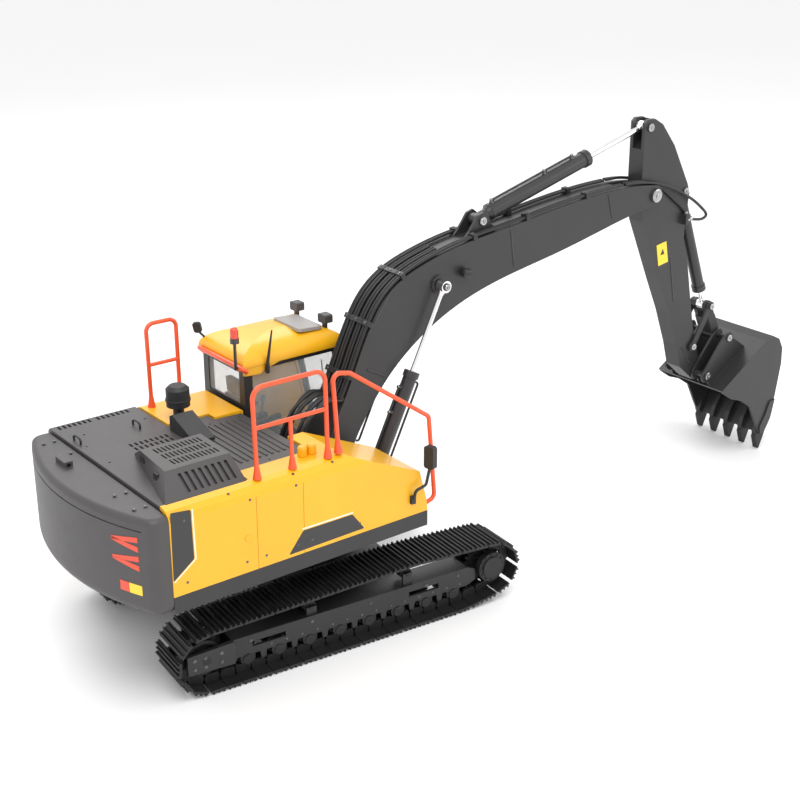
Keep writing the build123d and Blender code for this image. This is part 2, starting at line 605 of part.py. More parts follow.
glass = [box(X0 + 0.6, X0 + 1.6, Y0 + 7.4, Y1 - 7.8, 152.2, 176.8)]
glass.append(prism_y([(X0 + 8.2, 121.2), (66.6, 110.2), (53.4, 177.8), (X0 + 7.4, 177.8)], Y0 + 0.8, Y0 + 1.6))
glass.append(prism_y([(X0 + 8.2, 126.2), (9.8, 126.2), (9.8, 177.8), (X0 + 7.4, 177.8)], Y1 - 1.6, Y1 - 0.8))
glass.append(prism_y([(68.6, 96), (71.4, 112), (58.9, 177.4), (57.9, 177.4), (70.3, 112), (67.6, 96)],
                     Y0 + 3.2, Y1 - 3.2))

DOOR = [(14.3, 89.8), (63.2, 89.8), (63.4, 92), (66.4, 112), (53.2, 177.6), (14.3, 177.6)]
DOOR_GAP = [(17.5, 122), (62.5, 122), (51.2, 174.5), (17.5, 174.5)]
DOOR_LOW = [(17.5, 93), (60.4, 93), (62.6, 112), (61.8, 117), (17.5, 117)]
door = prism_y(DOOR, Y1 - 2.4, Y1 - 0.4) - prism_y(DOOR_GAP, Y1 - 3, Y1 + 1) - prism_y(DOOR_LOW, Y1 - 3, Y1 + 1)
door += bar((14.8, Y1 + 0.2, 96), (14.8, Y1 + 0.2, 104), 1.1)
door += bar((14.8, Y1 + 0.2, 160), (14.8, Y1 + 0.2, 168), 1.1)
door += bar((22, Y1 + 1.6, 112), (22, Y1 + 1.6, 140), 0.9)
for z in (112.5, 139.5):
    door += bar((22, Y1 - 1.0, z), (22, Y1 + 1.7, z), 0.9)
door_glass = [prism_y(DOOR_GAP, Y1 - 1.7, Y1 - 1.0), prism_y(DOOR_LOW, Y1 - 1.7, Y1 - 1.0)]
door = door.solids() + door_glass

SEAT_Y = 57.5
seat = fillet(box(-8, 20, SEAT_Y - 13, SEAT_Y + 13, 108, 116).edges(), 2)
back = prism_y([(-12, 112), (-4, 112), (-13, 150), (-20, 150)], SEAT_Y - 12, SEAT_Y + 12)
seat += fillet(back.edges(), 1.6)
seat += prism_y([(-19.4, 152.5), (-13.6, 152.5), (-15.6, 164), (-20.6, 164)], SEAT_Y - 7, SEAT_Y + 7)
for y in (-4, 4):
    seat += bar((-16.2, SEAT_Y + y, 148), (-17, SEAT_Y + y, 154), 0.8)
seat += box(-4, 14, SEAT_Y - 9, SEAT_Y + 9, 96, 108.5)
seat += box(-2, 10, SEAT_Y - 6, SEAT_Y + 6, 84.5, 97)
for y in (-16.2, 16.2):
    seat += prism_y([(-13, 128), (12, 130), (12, 133), (-14, 131.5)], SEAT_Y + y - 1.8, SEAT_Y + y + 1.8)
    y_in = SEAT_Y + y * 0.66
    y_out = SEAT_Y + y
    seat += prism_y([(-13, 126), (-9, 126), (-9, 131), (-13, 131)], min(y_in, y_out), max(y_in, y_out))

controls = []
for y in (-20.0, 20.0):
    console = box(-6, 22, SEAT_Y + y - 3.2, SEAT_Y + y + 3.2, 84.5, 120)
    console += bar((18, SEAT_Y + y, 119), (20, SEAT_Y + y, 131), 1.0)
    console += bar((19.8, SEAT_Y + y, 129.5), (20.6, SEAT_Y + y, 134.5), 2.0)
    controls.append(console)
for y in (-5.0, 5.0):
    pedal = box(46, 56, SEAT_Y + y - 3, SEAT_Y + y + 3, 84.5, 86.5)
    pedal += bar((50, SEAT_Y + y, 86), (45, SEAT_Y + y, 118), 0.9)
    pedal += bar((45.1, SEAT_Y + y, 116), (44, SEAT_Y + y, 124), 1.6)
    controls.append(pedal)
screen = box(50, 52.5, Y0 + 6, Y0 + 18, 132, 142) + bar((51, Y0 + 12, 132.5), (51, Y0 + 12, 84.5), 1.2)
controls.append(screen)

# ---------------------------------------------------------------- rails and small upper fittings
RAIL_Y = -80.0


def foot(x, y, z):
    return cone((x, y, z), (x, y, z + 8), 3.0, RAIL_R + 0.1)


right_rail = tube([(-85, RAIL_Y, 150.1), (-86.5, RAIL_Y, 213.6), (-29.5, RAIL_Y, 213.6), (-28.5, RAIL_Y, 150.1)],
                  RAIL_R, 8)
right_rail += bar((-85.8, RAIL_Y, 185.6), (-29.0, RAIL_Y, 185.6), RAIL_R * 0.9)
right_rail += bar((-57.2, RAIL_Y, 150.1), (-57.8, RAIL_Y, 185.6), RAIL_R * 0.9)
for x in (-85, -57.2, -28.5):
    right_rail += foot(x, RAIL_Y, 150.1)

front_rail = tube([(-19.5, RAIL_Y, 151.6), (-23.5, RAIL_Y, 209.8), (-9, RAIL_Y, 206.6), (59.5, RAIL_Y, 158),
                   (65.5, RAIL_Y, 92.6), (53.6, RAIL_Y, 89.6)], RAIL_R, 5)
front_rail += cone((-19.6, RAIL_Y, 151.6), (-20.2, RAIL_Y, 160.5), 3.2, RAIL_R + 0.1)
front_rail -= prism_y(SIDE_RIGHT, -88, -70)

left_rail = tube([(-78, 75, 150.1), (-78.5, 75, 214), (-54, 75, 214), (-54, 75, 150.1)], RAIL_R, 6)
left_rail += bar((-78.2, 75, 182.6), (-54, 75, 182.6), RAIL_R * 0.9)
for x in (-78, -54):
    left_rail += foot(x, 75, 150.1)

rear_bar = tube([(-26.2, 85.2, 179.6), (-30.4, 85.2, 183.6), (-30.4, 22.5, 183.6), (-27.0, 22.5, 181.0)],
                1.8, 2.2)
rear_bar += bar((-30.0, 82, 183.2), (-26.6, 82, 179.4), 1.2)
rear_bar += bar((-30.0, 33, 183.2), (-26.6, 33, 179.4), 1.2)
rear_bar -= roof
rear_bar -= cab

beacon = cyl_z(-33.6, 27.0, 1.2, 182.8, 204) + cyl_z(-33.6, 27.0, 3.4, 203.5, 207.5)
beacon += bar((-33.6, 27.0, 184.0), (-31.2, 27.0, 184.0), 1.1)
lens = cyl_z(-33.6, 27.0, 3.1, 207.5, 212.5)
lens = lens + Pos(-33.6, 27.0, 212.5) * Sphere(3.1)
beacon = [(beacon - roof - rear_bar).solids().sort_by(SortBy.VOLUME)[-1], lens]

antenna = cyl_z(-8.5, 23.7, 1.7, 176, 183) + cone((-8.5, 23.7, 182.8), (-3.8, 23.7, 208), 1.2, 0.6)
antenna += box(-9.8, -7.2, 23.7, 28.4, 176.6, 180)

mirror_right = box(36.2, 39.8, -90.6, -88, 99, 105) + tube([(38, -90.0, 102), (38.4, -92.2, 110),
                    (47, -93.0, 112.5), (50.5, -93.0, 126)], 1.1, 3)
mirror_right += Pos(50.8, -93, 133) * Rot(0, 0, 12) * fillet(Box(4.6, 8.5, 17).edges().filter_by(Axis.X), 2)
mirror_left = bar((-23, 84.0, 188.2), (-28, 88.2, 194.8), 0.9)
mirror_left += Pos(-28.6, 88.6, 198) * Rot(0, -12, 38) * fillet(Box(2.4, 6.4, 8.5).edges().filter_by(Axis.X), 2)
mirrors = [mirror_right, (mirror_left - roof).solids().sort_by(Axis.Z)[-1]]

caps = []
for x in (-40.5, -33.0):
    cap = cyl_z(x, -67, 3.4, 150.1, 155.5) + cone((x, -67, 155.5), (x, -67, 157), 3.4, 2.6)
    caps.append(cap)

lamps = [box(49.8, 55.6, -78, -70, 98, 106) - prism_y(SIDE_RIGHT, -88, -60)]
for y in (38, 76):
    lamp = fillet(box(50, 57, y - 5, y + 5, 198.6, 205.4).edges().filter_by(Axis.X), 1.5)
    lamp += box(51.5, 54.5, y - 1.5, y + 1.5, 193, 199)
    lamps.append((lamp - roof).solids().sort_by(Axis.Z)[-1])

save("turntable_frame", deck)
save("swing_motor", swing_motor)
save("swing_pinion", pinion)
save("battery_pack", battery)
save("control_board", board)
save("body_panel_right", right)
save("body_panel_left", left)
save("engine_hood", hood)
save("hood_scoop", scoop)
save("counterweight", weight)
save("exhaust_outlet", exhaust)
save("air_precleaner", cleaner)
save("cab_frame", cab)
save("cab_roof", roof)
save("cab_glass", glass)
save("roof_hatch", hatch)
save("cab_door", door)
save("operator_seat", seat)
save("cab_controls", controls)
save("right_handrail", right_rail)
save("front_handrail", front_rail)
save("left_handrail", left_rail)
save("cab_rear_rail", rear_bar)
save("beacon", beacon)
save("antenna", antenna - roof)
save("mirrors", mirrors)
save("filler_caps", caps)
save("work_lamps", lamps)

# ---------------------------------------------------------------- boom
BELLY = [(29.6, 101.4), (44, 124), (59.7, 147.5), (79, 169.6), (96, 183.6), (114.5, 195.6), (145, 209.6),
         (190, 221.8), (240, 230.6), (286.3, 240.1), (331.5, 249.6), (358.2, 253.4)]
TOP = [(355.6, 270.4), (330, 273.0), (296.9, 272.6), (245.8, 268), (193.9, 261), (142.4, 254.4),
       (105.5, 245.4), (82, 235), (66.5, 221), (55.5, 203), (46, 183), (37.5, 163.9), (28, 146), (10.4, 106.8)]


boom_face = make_face([
    Spline(*in_xz(BELLY)),
    ThreePointArc((358.2, 0, 253.4), (365.1, 0, 261.9), (355.6, 0, 270.4)),
    Spline(*in_xz(TOP)),
    ThreePointArc((10.4, 0, 106.8), (18.2, 0, 94.2), (29.6, 0, 101.4))])
boom = extrude(boom_face, BOOM_HALF, both=True)
boom -= prism_y(above(BELLY[2:-2], 2.8) + above(TOP[2:-3], 2.8), -BOOM_HALF + 2.2, BOOM_HALF - 2.2)
boom -= prism_y([(332, 236), (332, 262.5), (329, 265), (318, 275), (318, 290), (376, 290), (376, 236)],
                -ARM_HALF - 0.5, ARM_HALF + 0.5)
boom -= cyl_y(BOOM_FOOT, 3.0 + PIN_GAP, -20, 20)
CLEVIS = [(150, 254.2), (186, 258.9), (178, 265.5), (176.5, 271), (171.5, 274.8), (165.5, 273), (157, 261.5)]
for s in (1, -1):
    boom += slab_y(CLEVIS, s, 5.4, 7.4)
    boom += disc_y(ARM_CYL_BASE, 3.2, s, 7.4, 8.4)
    boom += disc_y(BOOM_CYL_EYE, 7.0, s, 13.5, 15.6)
    boom += disc_y(BOOM_CYL_EYE, 2.2, s, 15.4, 24.6)
    boom += disc_y(BOOM_CYL_EYE, 3.0, s, 24.2, 25.0)
    boom += disc_y(ARM_PIVOT, 6.0, s, 13.8, 15.2)
boom += cyl_y(ARM_PIVOT, 3.0, -15.8, 15.8)


# ---------------------------------------------------------------- hydraulic cylinders
def ram(eye, base, yc, rod_r, bore, gland, piston, eye_r, half, base_r, base_half, body_end, eye_pin):
    """rod and barrel between the rod eye and the base eye; distances are measured from the rod eye"""
    reach = hypot(base[0] - eye[0], base[1] - eye[1])

    def at(d):
        x, z = along(eye, base, d / reach)
        return x, yc, z

    rod = bar(at(eye_r * 0.6), at(piston + 2), rod_r)
    rod += bar(at(piston), at(piston + 6), bore - 0.1)
    rod += cyl_y(eye, eye_r, yc - half, yc + half)
    rod += cone(at(eye_r - 0.8), at(eye_r + 2.4), rod_r + 1.0, rod_r)
    rod -= cyl_y(eye, eye_pin + PIN_GAP, yc - half - 1, yc + half + 1)
    outer = bore + 0.8
    end = reach - body_end
    barrel = bar(at(gland), at(end), outer) + bar(at(gland), at(gland + 5), outer + 0.9)
    barrel += bar(at(end - 3), at(end), outer + 0.5)
    barrel += cone(at(end - 0.01), at(end + 3), outer, base_half * 0.92)
    barrel -= bar(at(gland + 4), at(end - 3.5), bore)
    barrel -= bar(at(gland - 1), at(gland + 5), rod_r + PIN_GAP)
    barrel += bar(at(end + 2), at(reach - 1), base_half * 0.9)
    barrel += cyl_y(base, base_r, yc - base_half, yc + base_half)
    return rod, barrel


def boom_ram(s):
    return ram(BOOM_CYL_EYE, BOOM_CYL_BASE, s * CYL_Y, 1.9, 4.5, 68.0, 110.0, 4.6, 3.6, 5.3, 4.2, 9.0, 2.2)


boom_rod_left, boom_barrel_left = boom_ram(1)
boom_rod_right, boom_barrel_right = boom_ram(-1)
for s, b in ((1, "l"), (-1, "r")):
    x, z = along(BOOM_CYL_EYE, BOOM_CYL_BASE, 0.475)
    x2, z2 = along(BOOM_CYL_EYE, BOOM_CYL_BASE, 0.86)
    pipe = tube([(x + 4.2, s * CYL_Y, z - 1.9), (x + 9.0, s * CYL_Y, z - 4.4), (x2 + 9.0, s * CYL_Y, z2 - 4.4),
                 (x2 + 4.2, s * CYL_Y, z2 - 1.9)], 0.9, 2)
    if s > 0:
        boom_barrel_left += pipe
    else:
        boom_barrel_right += pipe
arm_rod, arm_barrel = ram(ARM_CYL_EYE, ARM_CYL_BASE, 0, 2.4, 5.3, 67.0, 115.0, 4.6, 4.4, 4.6, 4.8, 13.0, 2.2)
bucket_rod, bucket_barrel = ram(LINK_PIN, BUCKET_CYL_BASE, 0, 1.9, 4.6, 16.0, 66.0, 4.2, 3.6, 4.3, 3.8, 12.0, 2.0)

# ---------------------------------------------------------------- arm
ARM_SIDE = [(345.3, 322.5), (345.5, 280), (346, 252), (350, 238.4), (376.6, 180.9), (391.2, 150.5), (404.5, 117),
            (411.5, 94), (430.5, 77.8), (437.5, 78.8), (440.4, 86), (431.5, 111), (425.2, 130), (416.6, 167.5),
            (411, 193), (403.5, 216), (404.5, 240), (406.6, 256), (403.5, 264), (383, 300), (366.8, 319.5),
            (357, 325), (348.5, 325.2)]
ARM_CAVITY = [(349, 286), (349, 252), (353, 240), (379.5, 182.5), (394, 152), (407.5, 118.5), (413, 101),
              (418, 98), (420, 118), (420.5, 131), (412.5, 166), (406, 190), (399, 206), (397, 219),
              (390.5, 236), (383.5, 246), (382.5, 262), (366, 288)]
TAIL_SLOT = [(340, 332), (340, 298), (350, 302), (357.5, 310), (360, 318), (357, 332)]
FRONT_SLOT = [(386, 267), (387, 247), (394, 239), (400.5, 220), (403.5, 209), (426, 204), (426, 276), (391, 276)]
arm = prism_y(ARM_SIDE, -ARM_HALF, ARM_HALF)
arm -= prism_y(ARM_CAVITY, -5.8, 5.8)
arm += cyl_y(ARM_PIVOT, 8.5, -ARM_HALF, ARM_HALF)
arm -= prism_y(TAIL_SLOT, -4.8, 4.8)
arm -= prism_y(FRONT_SLOT, -5.9, 5.9)
arm += cyl_y(ARM_CYL_EYE, 2.2, -9.0, 9.0)
arm -= cyl_y(ARM_PIVOT, 3.0 + PIN_GAP, -20, 20)
arm -= cyl_y(BUCKET_PIVOT, 2.6 + PIN_GAP, -20, 20)
arm -= cyl_y(ROCKER_PIVOT, 2.0 + PIN_GAP, -20, 20)
for s in (1, -1):
    arm += disc_y(ARM_CYL_EYE, 3.4, s, 7.9, 9.0)
    arm += disc_y(BUCKET_CYL_BASE, 2.8, s, 7.9, 8.9)
    arm += slab_y([(398.3, 229.5), (403.8, 229.5), (403.8, 238.5), (398.3, 238.5)], s, 7.9, 13.6)

# ---------------------------------------------------------------- rocker, link and bucket


def strap(p, q, w, s, y0, y1):
    ux, uz = unit(p, q)
    pts = [(p[0] - w * uz, p[1] + w * ux), (q[0] - w * uz, q[1] + w * ux), (q[0] + w * uz, q[1] - w * ux),
           (p[0] + w * uz, p[1] - w * ux)]
    return slab_y(pts, s, y0, y1)


rocker = cyl_y(ROCKER_PIVOT, 2.0, -11.4, 11.4) + cyl_y(LINK_PIN, 2.0, -11.6, 11.6)
for s in (1, -1):
    rocker += strap(ROCKER_PIVOT, LINK_PIN, 3.0, s, 8.6, 10.6)
    rocker += disc_y(ROCKER_PIVOT, 4.4, s, 8.6, 10.8)
    rocker += disc_y(LINK_PIN, 4.4, s, 8.6, 10.8)
    rocker += disc_y(ROCKER_PIVOT, 2.8, s, 10.6, 11.4)
    rocker += disc_y(LINK_PIN, 2.8, s, 10.6, 11.8)

MID_LINK = along(LINK_PIN, BUCKET_LINK, 0.38)
link = cyl_y(BUCKET_LINK, 5.6, -8.0, 8.0)
link += strap(MID_LINK, BUCKET_LINK, 4.6, 1, -8.0, 8.0)
for s in (1, -1):
    link += strap(LINK_PIN, MID_LINK, 4.0, s, 4.2, 8.0)
    link += disc_y(LINK_PIN, 4.8, s, 4.2, 8.0)
LINK_BORE = 3.3
link -= cyl_y(BUCKET_LINK, LINK_BORE, -9, 9)
link -= cyl_y(LINK_PIN, 2.0 + PIN_GAP, -9, 9)

BUCKET_OUT = [(436.6, 73.4), (494, 109.6), (504, 112.6), (513, 108), (518.8, 98), (519.5, 82), (513, 40),
              (498.6, 16)]
MOUTH = [(495.5, 17.6), (487.5, 32), (479.0, 48), (464.5, 57.5), (451.0, 62.4), (439, 70.5)]
BUCKET_IN = [(434.4, 69.2), (495.0, 107.4), (503.6, 110.0), (511.4, 106.2), (516.5, 97.2), (517.1, 82),
             (510.7, 40.8), (494.0, 13), (470, 12), (430, 50)]
BUCKET_HALF = 38.5
bucket = prism_y(BUCKET_OUT + MOUTH, -BUCKET_HALF, BUCKET_HALF)
bucket -= prism_y(BUCKET_IN, -BUCKET_HALF + 2.2, BUCKET_HALF - 2.2)
# wear strips along the back and side cutters
for s in (1, -1):
    bucket += slab_y([(513.6, 48), (509.5, 30), (502, 17.5), (496.5, 16.6), (495, 24), (501, 34), (507, 47)],
                     s, BUCKET_HALF - 0.1, BUCKET_HALF + 1.4)
EAR = [(427.8, 88.6), (453.8, 119.6), (461.5, 121.4), (466, 114.5), (484, 102.2), (438.2, 73.2)]
for s in (1, -1):
    for y0, y1 in ((8.6, 10.8), (20.6, 22.4)):
        bucket += slab_y(EAR, s, y0, y1)
        bucket += disc_y(BUCKET_PIVOT, 6.6, s, y0, y1)
        bucket += disc_y(BUCKET_LINK, 5.4, s, y0, y1)
    bucket += disc_y(BUCKET_PIVOT, 3.6, s, 22.2, 23.4)
    bucket += disc_y(BUCKET_LINK, 3.0, s, 22.2, 23.4)
bucket += cyl_y(BUCKET_PIVOT, 2.6, -23.4, 23.4)
bucket += cyl_y(BUCKET_LINK, 2.0, -23.4, 23.4)

TOOTH = [(506.6, 28.9), (509.8, 27.0), (504.6, 11.5), (499.8, 0.6), (498.0, 0.6), (493.6, 13.0), (495.0, 17.4),
         (498.7, 15.4)]
SHANK = [(495.8, 16.4), (492.9, 17.4), (496.5, 27.5), (503.8, 39.5), (509.0, 40.0), (506, 30)]
SPACING = 17.2
teeth = []
for i in range(5):
    y = SPACING * (i - 2)
    tooth = prism_y(TOOTH, y - 2.7, y + 2.7)
    bucket += prism_y(SHANK, y - 2.0, y + 2.0) - tooth
    teeth.append(tooth)

# ---------------------------------------------------------------- hoses
LINE_R = 1.15


RISE = [(33, 155.5), (37.5, 163.9), (46, 183), (55.5, 203), (66.5, 221), (82, 235), (105.5, 245.4),
        (126, 251)]
ALONG = [(126, 251), (142.4, 254.4), (193.9, 261), (245.8, 268), (296.9, 272.6), (318, 273.2)]


def smooth_line(points, y):
    """a pipe along a smooth curve at one distance from the middle"""
    path = Wire([Edge.make_spline([Vector(x, y, z) for x, z in points])])
    return sweep(Plane(origin=path @ 0, z_dir=path % 0) * Circle(LINE_R), path=path)


lines = []
for y in (-12.4, -9.6, 9.6, 12.4):
    lines.append(smooth_line(above(RISE[:-1] + ALONG, 2.4), y))
for y in (-5.5, -2.5, 2.5, 5.5):
    lines.append(smooth_line(above(RISE, 2.4), y))

# free hoses between the deck and the boom, and between the boom nose and the arm
foot_hoses = []
for y in (-12.4, -9.6, -5.5, -2.5, 2.5, 5.5, 9.6, 12.4):
    end = above(RISE, 2.4)[0]
    foot_hoses.append(tube([(-8, y, 80.3), (-8, y, 122), (8, y, 150), (end[0] - 2.0, y, end[1] - 4.0)], LINE_R, 12))
tip_hoses = []
for s in (1, -1):
    tip_hoses.append(tube([(320.5, s * 12.4, 275.9), (344, s * 12.4, 275.2), (362, s * 12.4, 271.8),
                           (388, s * 12.4, 262), (430, s * 12.4, 240), (427, s * 12.4, 231.5),
                           (404.2, s * 12.4, 233.5)], LINE_R, 3.5))
    tip_hoses.append(tube([(320.5, s * 9.9, 275.9), (344, s * 9.9, 275.2), (362, s * 9.9, 271), (378, s * 9.9, 260),
                           (401, s * 9.9, 246), (401, s * 9.9, 238.9)], LINE_R, 3.5))

save("boom", boom)
save("boom_barrel_left", boom_barrel_left)
save("boom_barrel_right", boom_barrel_right)
save("boom_rod_left", boom_rod_left)
save("boom_rod_right", boom_rod_right)
save("arm_barrel", arm_barrel)
save("arm_rod", arm_rod)
save("arm", arm)
save("bucket_barrel", bucket_barrel)
save("bucket_rod", bucket_rod)
save("rocker_links", rocker)
save("h_link", link)
save("bucket", bucket)
save("bucket_teeth", teeth)
save("boom_lines", lines)
save("foot_hoses", foot_hoses)
save("tip_hoses", tip_hoses)
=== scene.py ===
import math

import bmesh
import bpy
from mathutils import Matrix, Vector


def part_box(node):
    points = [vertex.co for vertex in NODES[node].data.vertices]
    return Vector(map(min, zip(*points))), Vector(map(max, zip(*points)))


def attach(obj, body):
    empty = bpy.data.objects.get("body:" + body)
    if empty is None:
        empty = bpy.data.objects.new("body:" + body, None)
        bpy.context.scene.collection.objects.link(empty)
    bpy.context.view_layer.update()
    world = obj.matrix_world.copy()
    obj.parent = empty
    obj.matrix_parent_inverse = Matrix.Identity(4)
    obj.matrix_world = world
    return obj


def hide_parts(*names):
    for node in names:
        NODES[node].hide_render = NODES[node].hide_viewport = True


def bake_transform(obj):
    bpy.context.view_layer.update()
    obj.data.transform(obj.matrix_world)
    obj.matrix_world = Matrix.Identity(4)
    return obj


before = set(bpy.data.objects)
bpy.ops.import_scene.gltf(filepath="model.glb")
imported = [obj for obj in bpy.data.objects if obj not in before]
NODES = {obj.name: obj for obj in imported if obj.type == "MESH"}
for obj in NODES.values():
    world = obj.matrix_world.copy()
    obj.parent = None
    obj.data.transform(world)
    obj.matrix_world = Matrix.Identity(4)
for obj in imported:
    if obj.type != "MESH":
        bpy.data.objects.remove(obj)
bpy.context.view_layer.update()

MM = 0.001
TAIL_RADIUS = 188.5
# the swing axis, from the tail of the counterweight, whose radius about it is known
AXIS_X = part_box("counterweight")[0].x + TAIL_RADIUS * MM


def at(x, y, z):
    """a point given in mm from the swing axis and the ground, in the row frame"""
    return Vector((AXIS_X + x * MM, y * MM, z * MM))


# ---------------------------------------------------------------- materials
def new_material(name):
    mat = bpy.data.materials.new(name)
    mat.use_nodes = True
    nodes = mat.node_tree.nodes
    nodes.clear()
    out = nodes.new("ShaderNodeOutputMaterial")
    bsdf = nodes.new("ShaderNodeBsdfPrincipled")
    mat.node_tree.links.new(bsdf.outputs[0], out.inputs["Surface"])
    return mat, nodes, mat.node_tree.links, bsdf


def noise(nodes, links, vector, scale, detail=4.0, rough=0.55):
    tex = nodes.new("ShaderNodeTexNoise")
    tex.inputs["Scale"].default_value = scale
    tex.inputs["Detail"].default_value = detail
    tex.inputs["Roughness"].default_value = rough
    links.new(vector, tex.inputs["Vector"])
    return tex.outputs["Fac"]


def remap(nodes, links, value, low, high, to_low, to_high):
    node = nodes.new("ShaderNodeMapRange")
    node.inputs["From Min"].default_value = low
    node.inputs["From Max"].default_value = high
    node.inputs["To Min"].default_value = to_low
    node.inputs["To Max"].default_value = to_high
    links.new(value, node.inputs["Value"])
    return node.outputs["Result"]


def maths(nodes, links, kind, a, b):
    node = nodes.new("ShaderNodeMath")
    node.operation = kind
    for socket, value in zip(node.inputs, (a, b)):
        if isinstance(value, (int, float)):
            socket.default_value = value
        else:
            links.new(value, socket)
    return node.outputs[0]


def mixed(nodes, links, factor, a, b):
    node = nodes.new("ShaderNodeMix")
    node.data_type = "RGBA"
    links.new(factor, node.inputs["Factor"])
    for socket, value in ((node.inputs[6], a), (node.inputs[7], b)):
        if isinstance(value, tuple):
            socket.default_value = value + (1.0,) if len(value) == 3 else value
        else:
            links.new(value, socket)
    return node.outputs[2]


def shade(colour, k):
    return tuple(min(1.0, c * k) for c in colour)


def paint(name, colour, rough=0.4, metallic=0.0, vary=0.10, dust=0.0, wear=0.0, wear_colour=(0.3, 0.3, 0.3),
          grain=900.0, grain_depth=0.00002, round_edge=0.0004, coat=0.0, smudge=0.08, specks=0.0):
    """painted, moulded or cast surface: slow colour drift, dust on upward faces, rubbed edges, fine grain"""
    mat, nodes, links, bsdf = new_material(name)
    coord = nodes.new("ShaderNodeTexCoord").outputs["Object"]
    drift = noise(nodes, links, coord, 22.0, 5.0, 0.6)
    fine = noise(nodes, links, coord, grain, 3.0, 0.6)
    blotch = noise(nodes, links, coord, 95.0, 6.0, 0.65)
    tint = remap(nodes, links, drift, 0.32, 0.68, 0.0, 1.0)
    colour_out = mixed(nodes, links, tint, shade(colour, 1 - vary), shade(colour, 1 + vary))
    if specks:
        speck = remap(nodes, links, fine, 0.56, 0.66, 0.0, specks)
        colour_out = mixed(nodes, links, speck, colour_out, shade(colour, 1.9))
    if dust:
        geo = nodes.new("ShaderNodeNewGeometry")
        split = nodes.new("ShaderNodeSeparateXYZ")
        links.new(geo.outputs["Normal"], split.inputs[0])
        up = remap(nodes, links, split.outputs["Z"], 0.2, 1.0, 0.0, dust)
        patchy = maths(nodes, links, "MULTIPLY", up, remap(nodes, links, blotch, 0.35, 0.7, 0.2, 1.0))
        colour_out = mixed(nodes, links, patchy, colour_out, (0.42, 0.39, 0.35))
    bevel = nodes.new("ShaderNodeBevel")
    bevel.samples = 4
    bevel.inputs["Radius"].default_value = round_edge
    if wear:
        geo = nodes.new("ShaderNodeNewGeometry")
        dot = nodes.new("ShaderNodeVectorMath")
        dot.operation = "DOT_PRODUCT"
        links.new(bevel.outputs[0], dot.inputs[0])
        links.new(geo.outputs["Normal"], dot.inputs[1])
        edge = remap(nodes, links, dot.outputs["Value"], 0.998, 0.90, 0.0, 1.0)
        rub = maths(nodes, links, "MULTIPLY", edge, remap(nodes, links, blotch, 0.42, 0.62, 0.15, 1.0))
        rub = maths(nodes, links, "MULTIPLY", rub, wear)
        colour_out = mixed(nodes, links, rub, colour_out, wear_colour)
    links.new(colour_out, bsdf.inputs["Base Color"])
    spread = maths(nodes, links, "ADD", maths(nodes, links, "MULTIPLY", blotch, smudge),
                   maths(nodes, links, "MULTIPLY", fine, 0.06))
    links.new(maths(nodes, links, "ADD", spread, rough - 0.5 * smudge - 0.03), bsdf.inputs["Roughness"])
    bump = nodes.new("ShaderNodeBump")
    bump.inputs["Strength"].default_value = 1.0
    bump.inputs["Distance"].default_value = grain_depth
    links.new(fine, bump.inputs["Height"])
    links.new(bevel.outputs[0], bump.inputs["Normal"])
    links.new(bump.outputs[0], bsdf.inputs["Normal"])
    bsdf.inputs["Metallic"].default_value = metallic
    if coat:
        bsdf.inputs["Coat Weight"].default_value = coat
        bsdf.inputs["Coat Roughness"].default_value = 0.18
    return mat


def metal(name, colour, rough=0.2, brushed=(0.0, 0.0, 1.0), stretch=40.0, vary=0.06, depth=0.000006):
    """machined or plated metal with fine lines along one direction"""
    mat, nodes, links, bsdf = new_material(name)
    coord = nodes.new("ShaderNodeTexCoord").outputs["Object"]
    mapping = nodes.new("ShaderNodeMapping")
    scale = [1.0 if b else stretch for b in brushed]
    mapping.inputs["Scale"].default_value = scale
    links.new(coord, mapping.inputs["Vector"])
    lines = noise(nodes, links, mapping.outputs[0], 60.0, 5.0, 0.7)
    blotch = noise(nodes, links, coord, 120.0, 4.0, 0.6)
    tint = remap(nodes, links, blotch, 0.35, 0.65, 0.0, 1.0)
    links.new(mixed(nodes, links, tint, shade(colour, 1 - vary), shade(colour, 1 + vary)), bsdf.inputs["Base Color"])
    links.new(remap(nodes, links, lines, 0.3, 0.7, rough * 0.75, rough * 1.3), bsdf.inputs["Roughness"])
    bump = nodes.new("ShaderNodeBump")
    bump.inputs["Distance"].default_value = depth
    links.new(lines, bump.inputs["Height"])
    links.new(bump.outputs[0], bsdf.inputs["Normal"])
    bsdf.inputs["Metallic"].default_value = 1.0
    return mat


def clear(name, colour, rough=0.04, alpha=0.25):
    """thin window with faint smears"""
    mat, nodes, links, bsdf = new_material(name)
    coord = nodes.new("ShaderNodeTexCoord").outputs["Object"]
    smear = noise(nodes, links, coord, 45.0, 5.0, 0.6)
    links.new(mixed(nodes, links, smear, shade(colour, 0.9), shade(colour, 1.1)), bsdf.inputs["Base Color"])
    links.new(remap(nodes, links, smear, 0.3, 0.7, rough, rough + 0.08), bsdf.inputs["Roughness"])
    links.new(remap(nodes, links, smear, 0.3, 0.7, alpha - 0.03, alpha + 0.05), bsdf.inputs["Alpha"])
    bsdf.inputs["IOR"].default_value = 1.49
    return mat


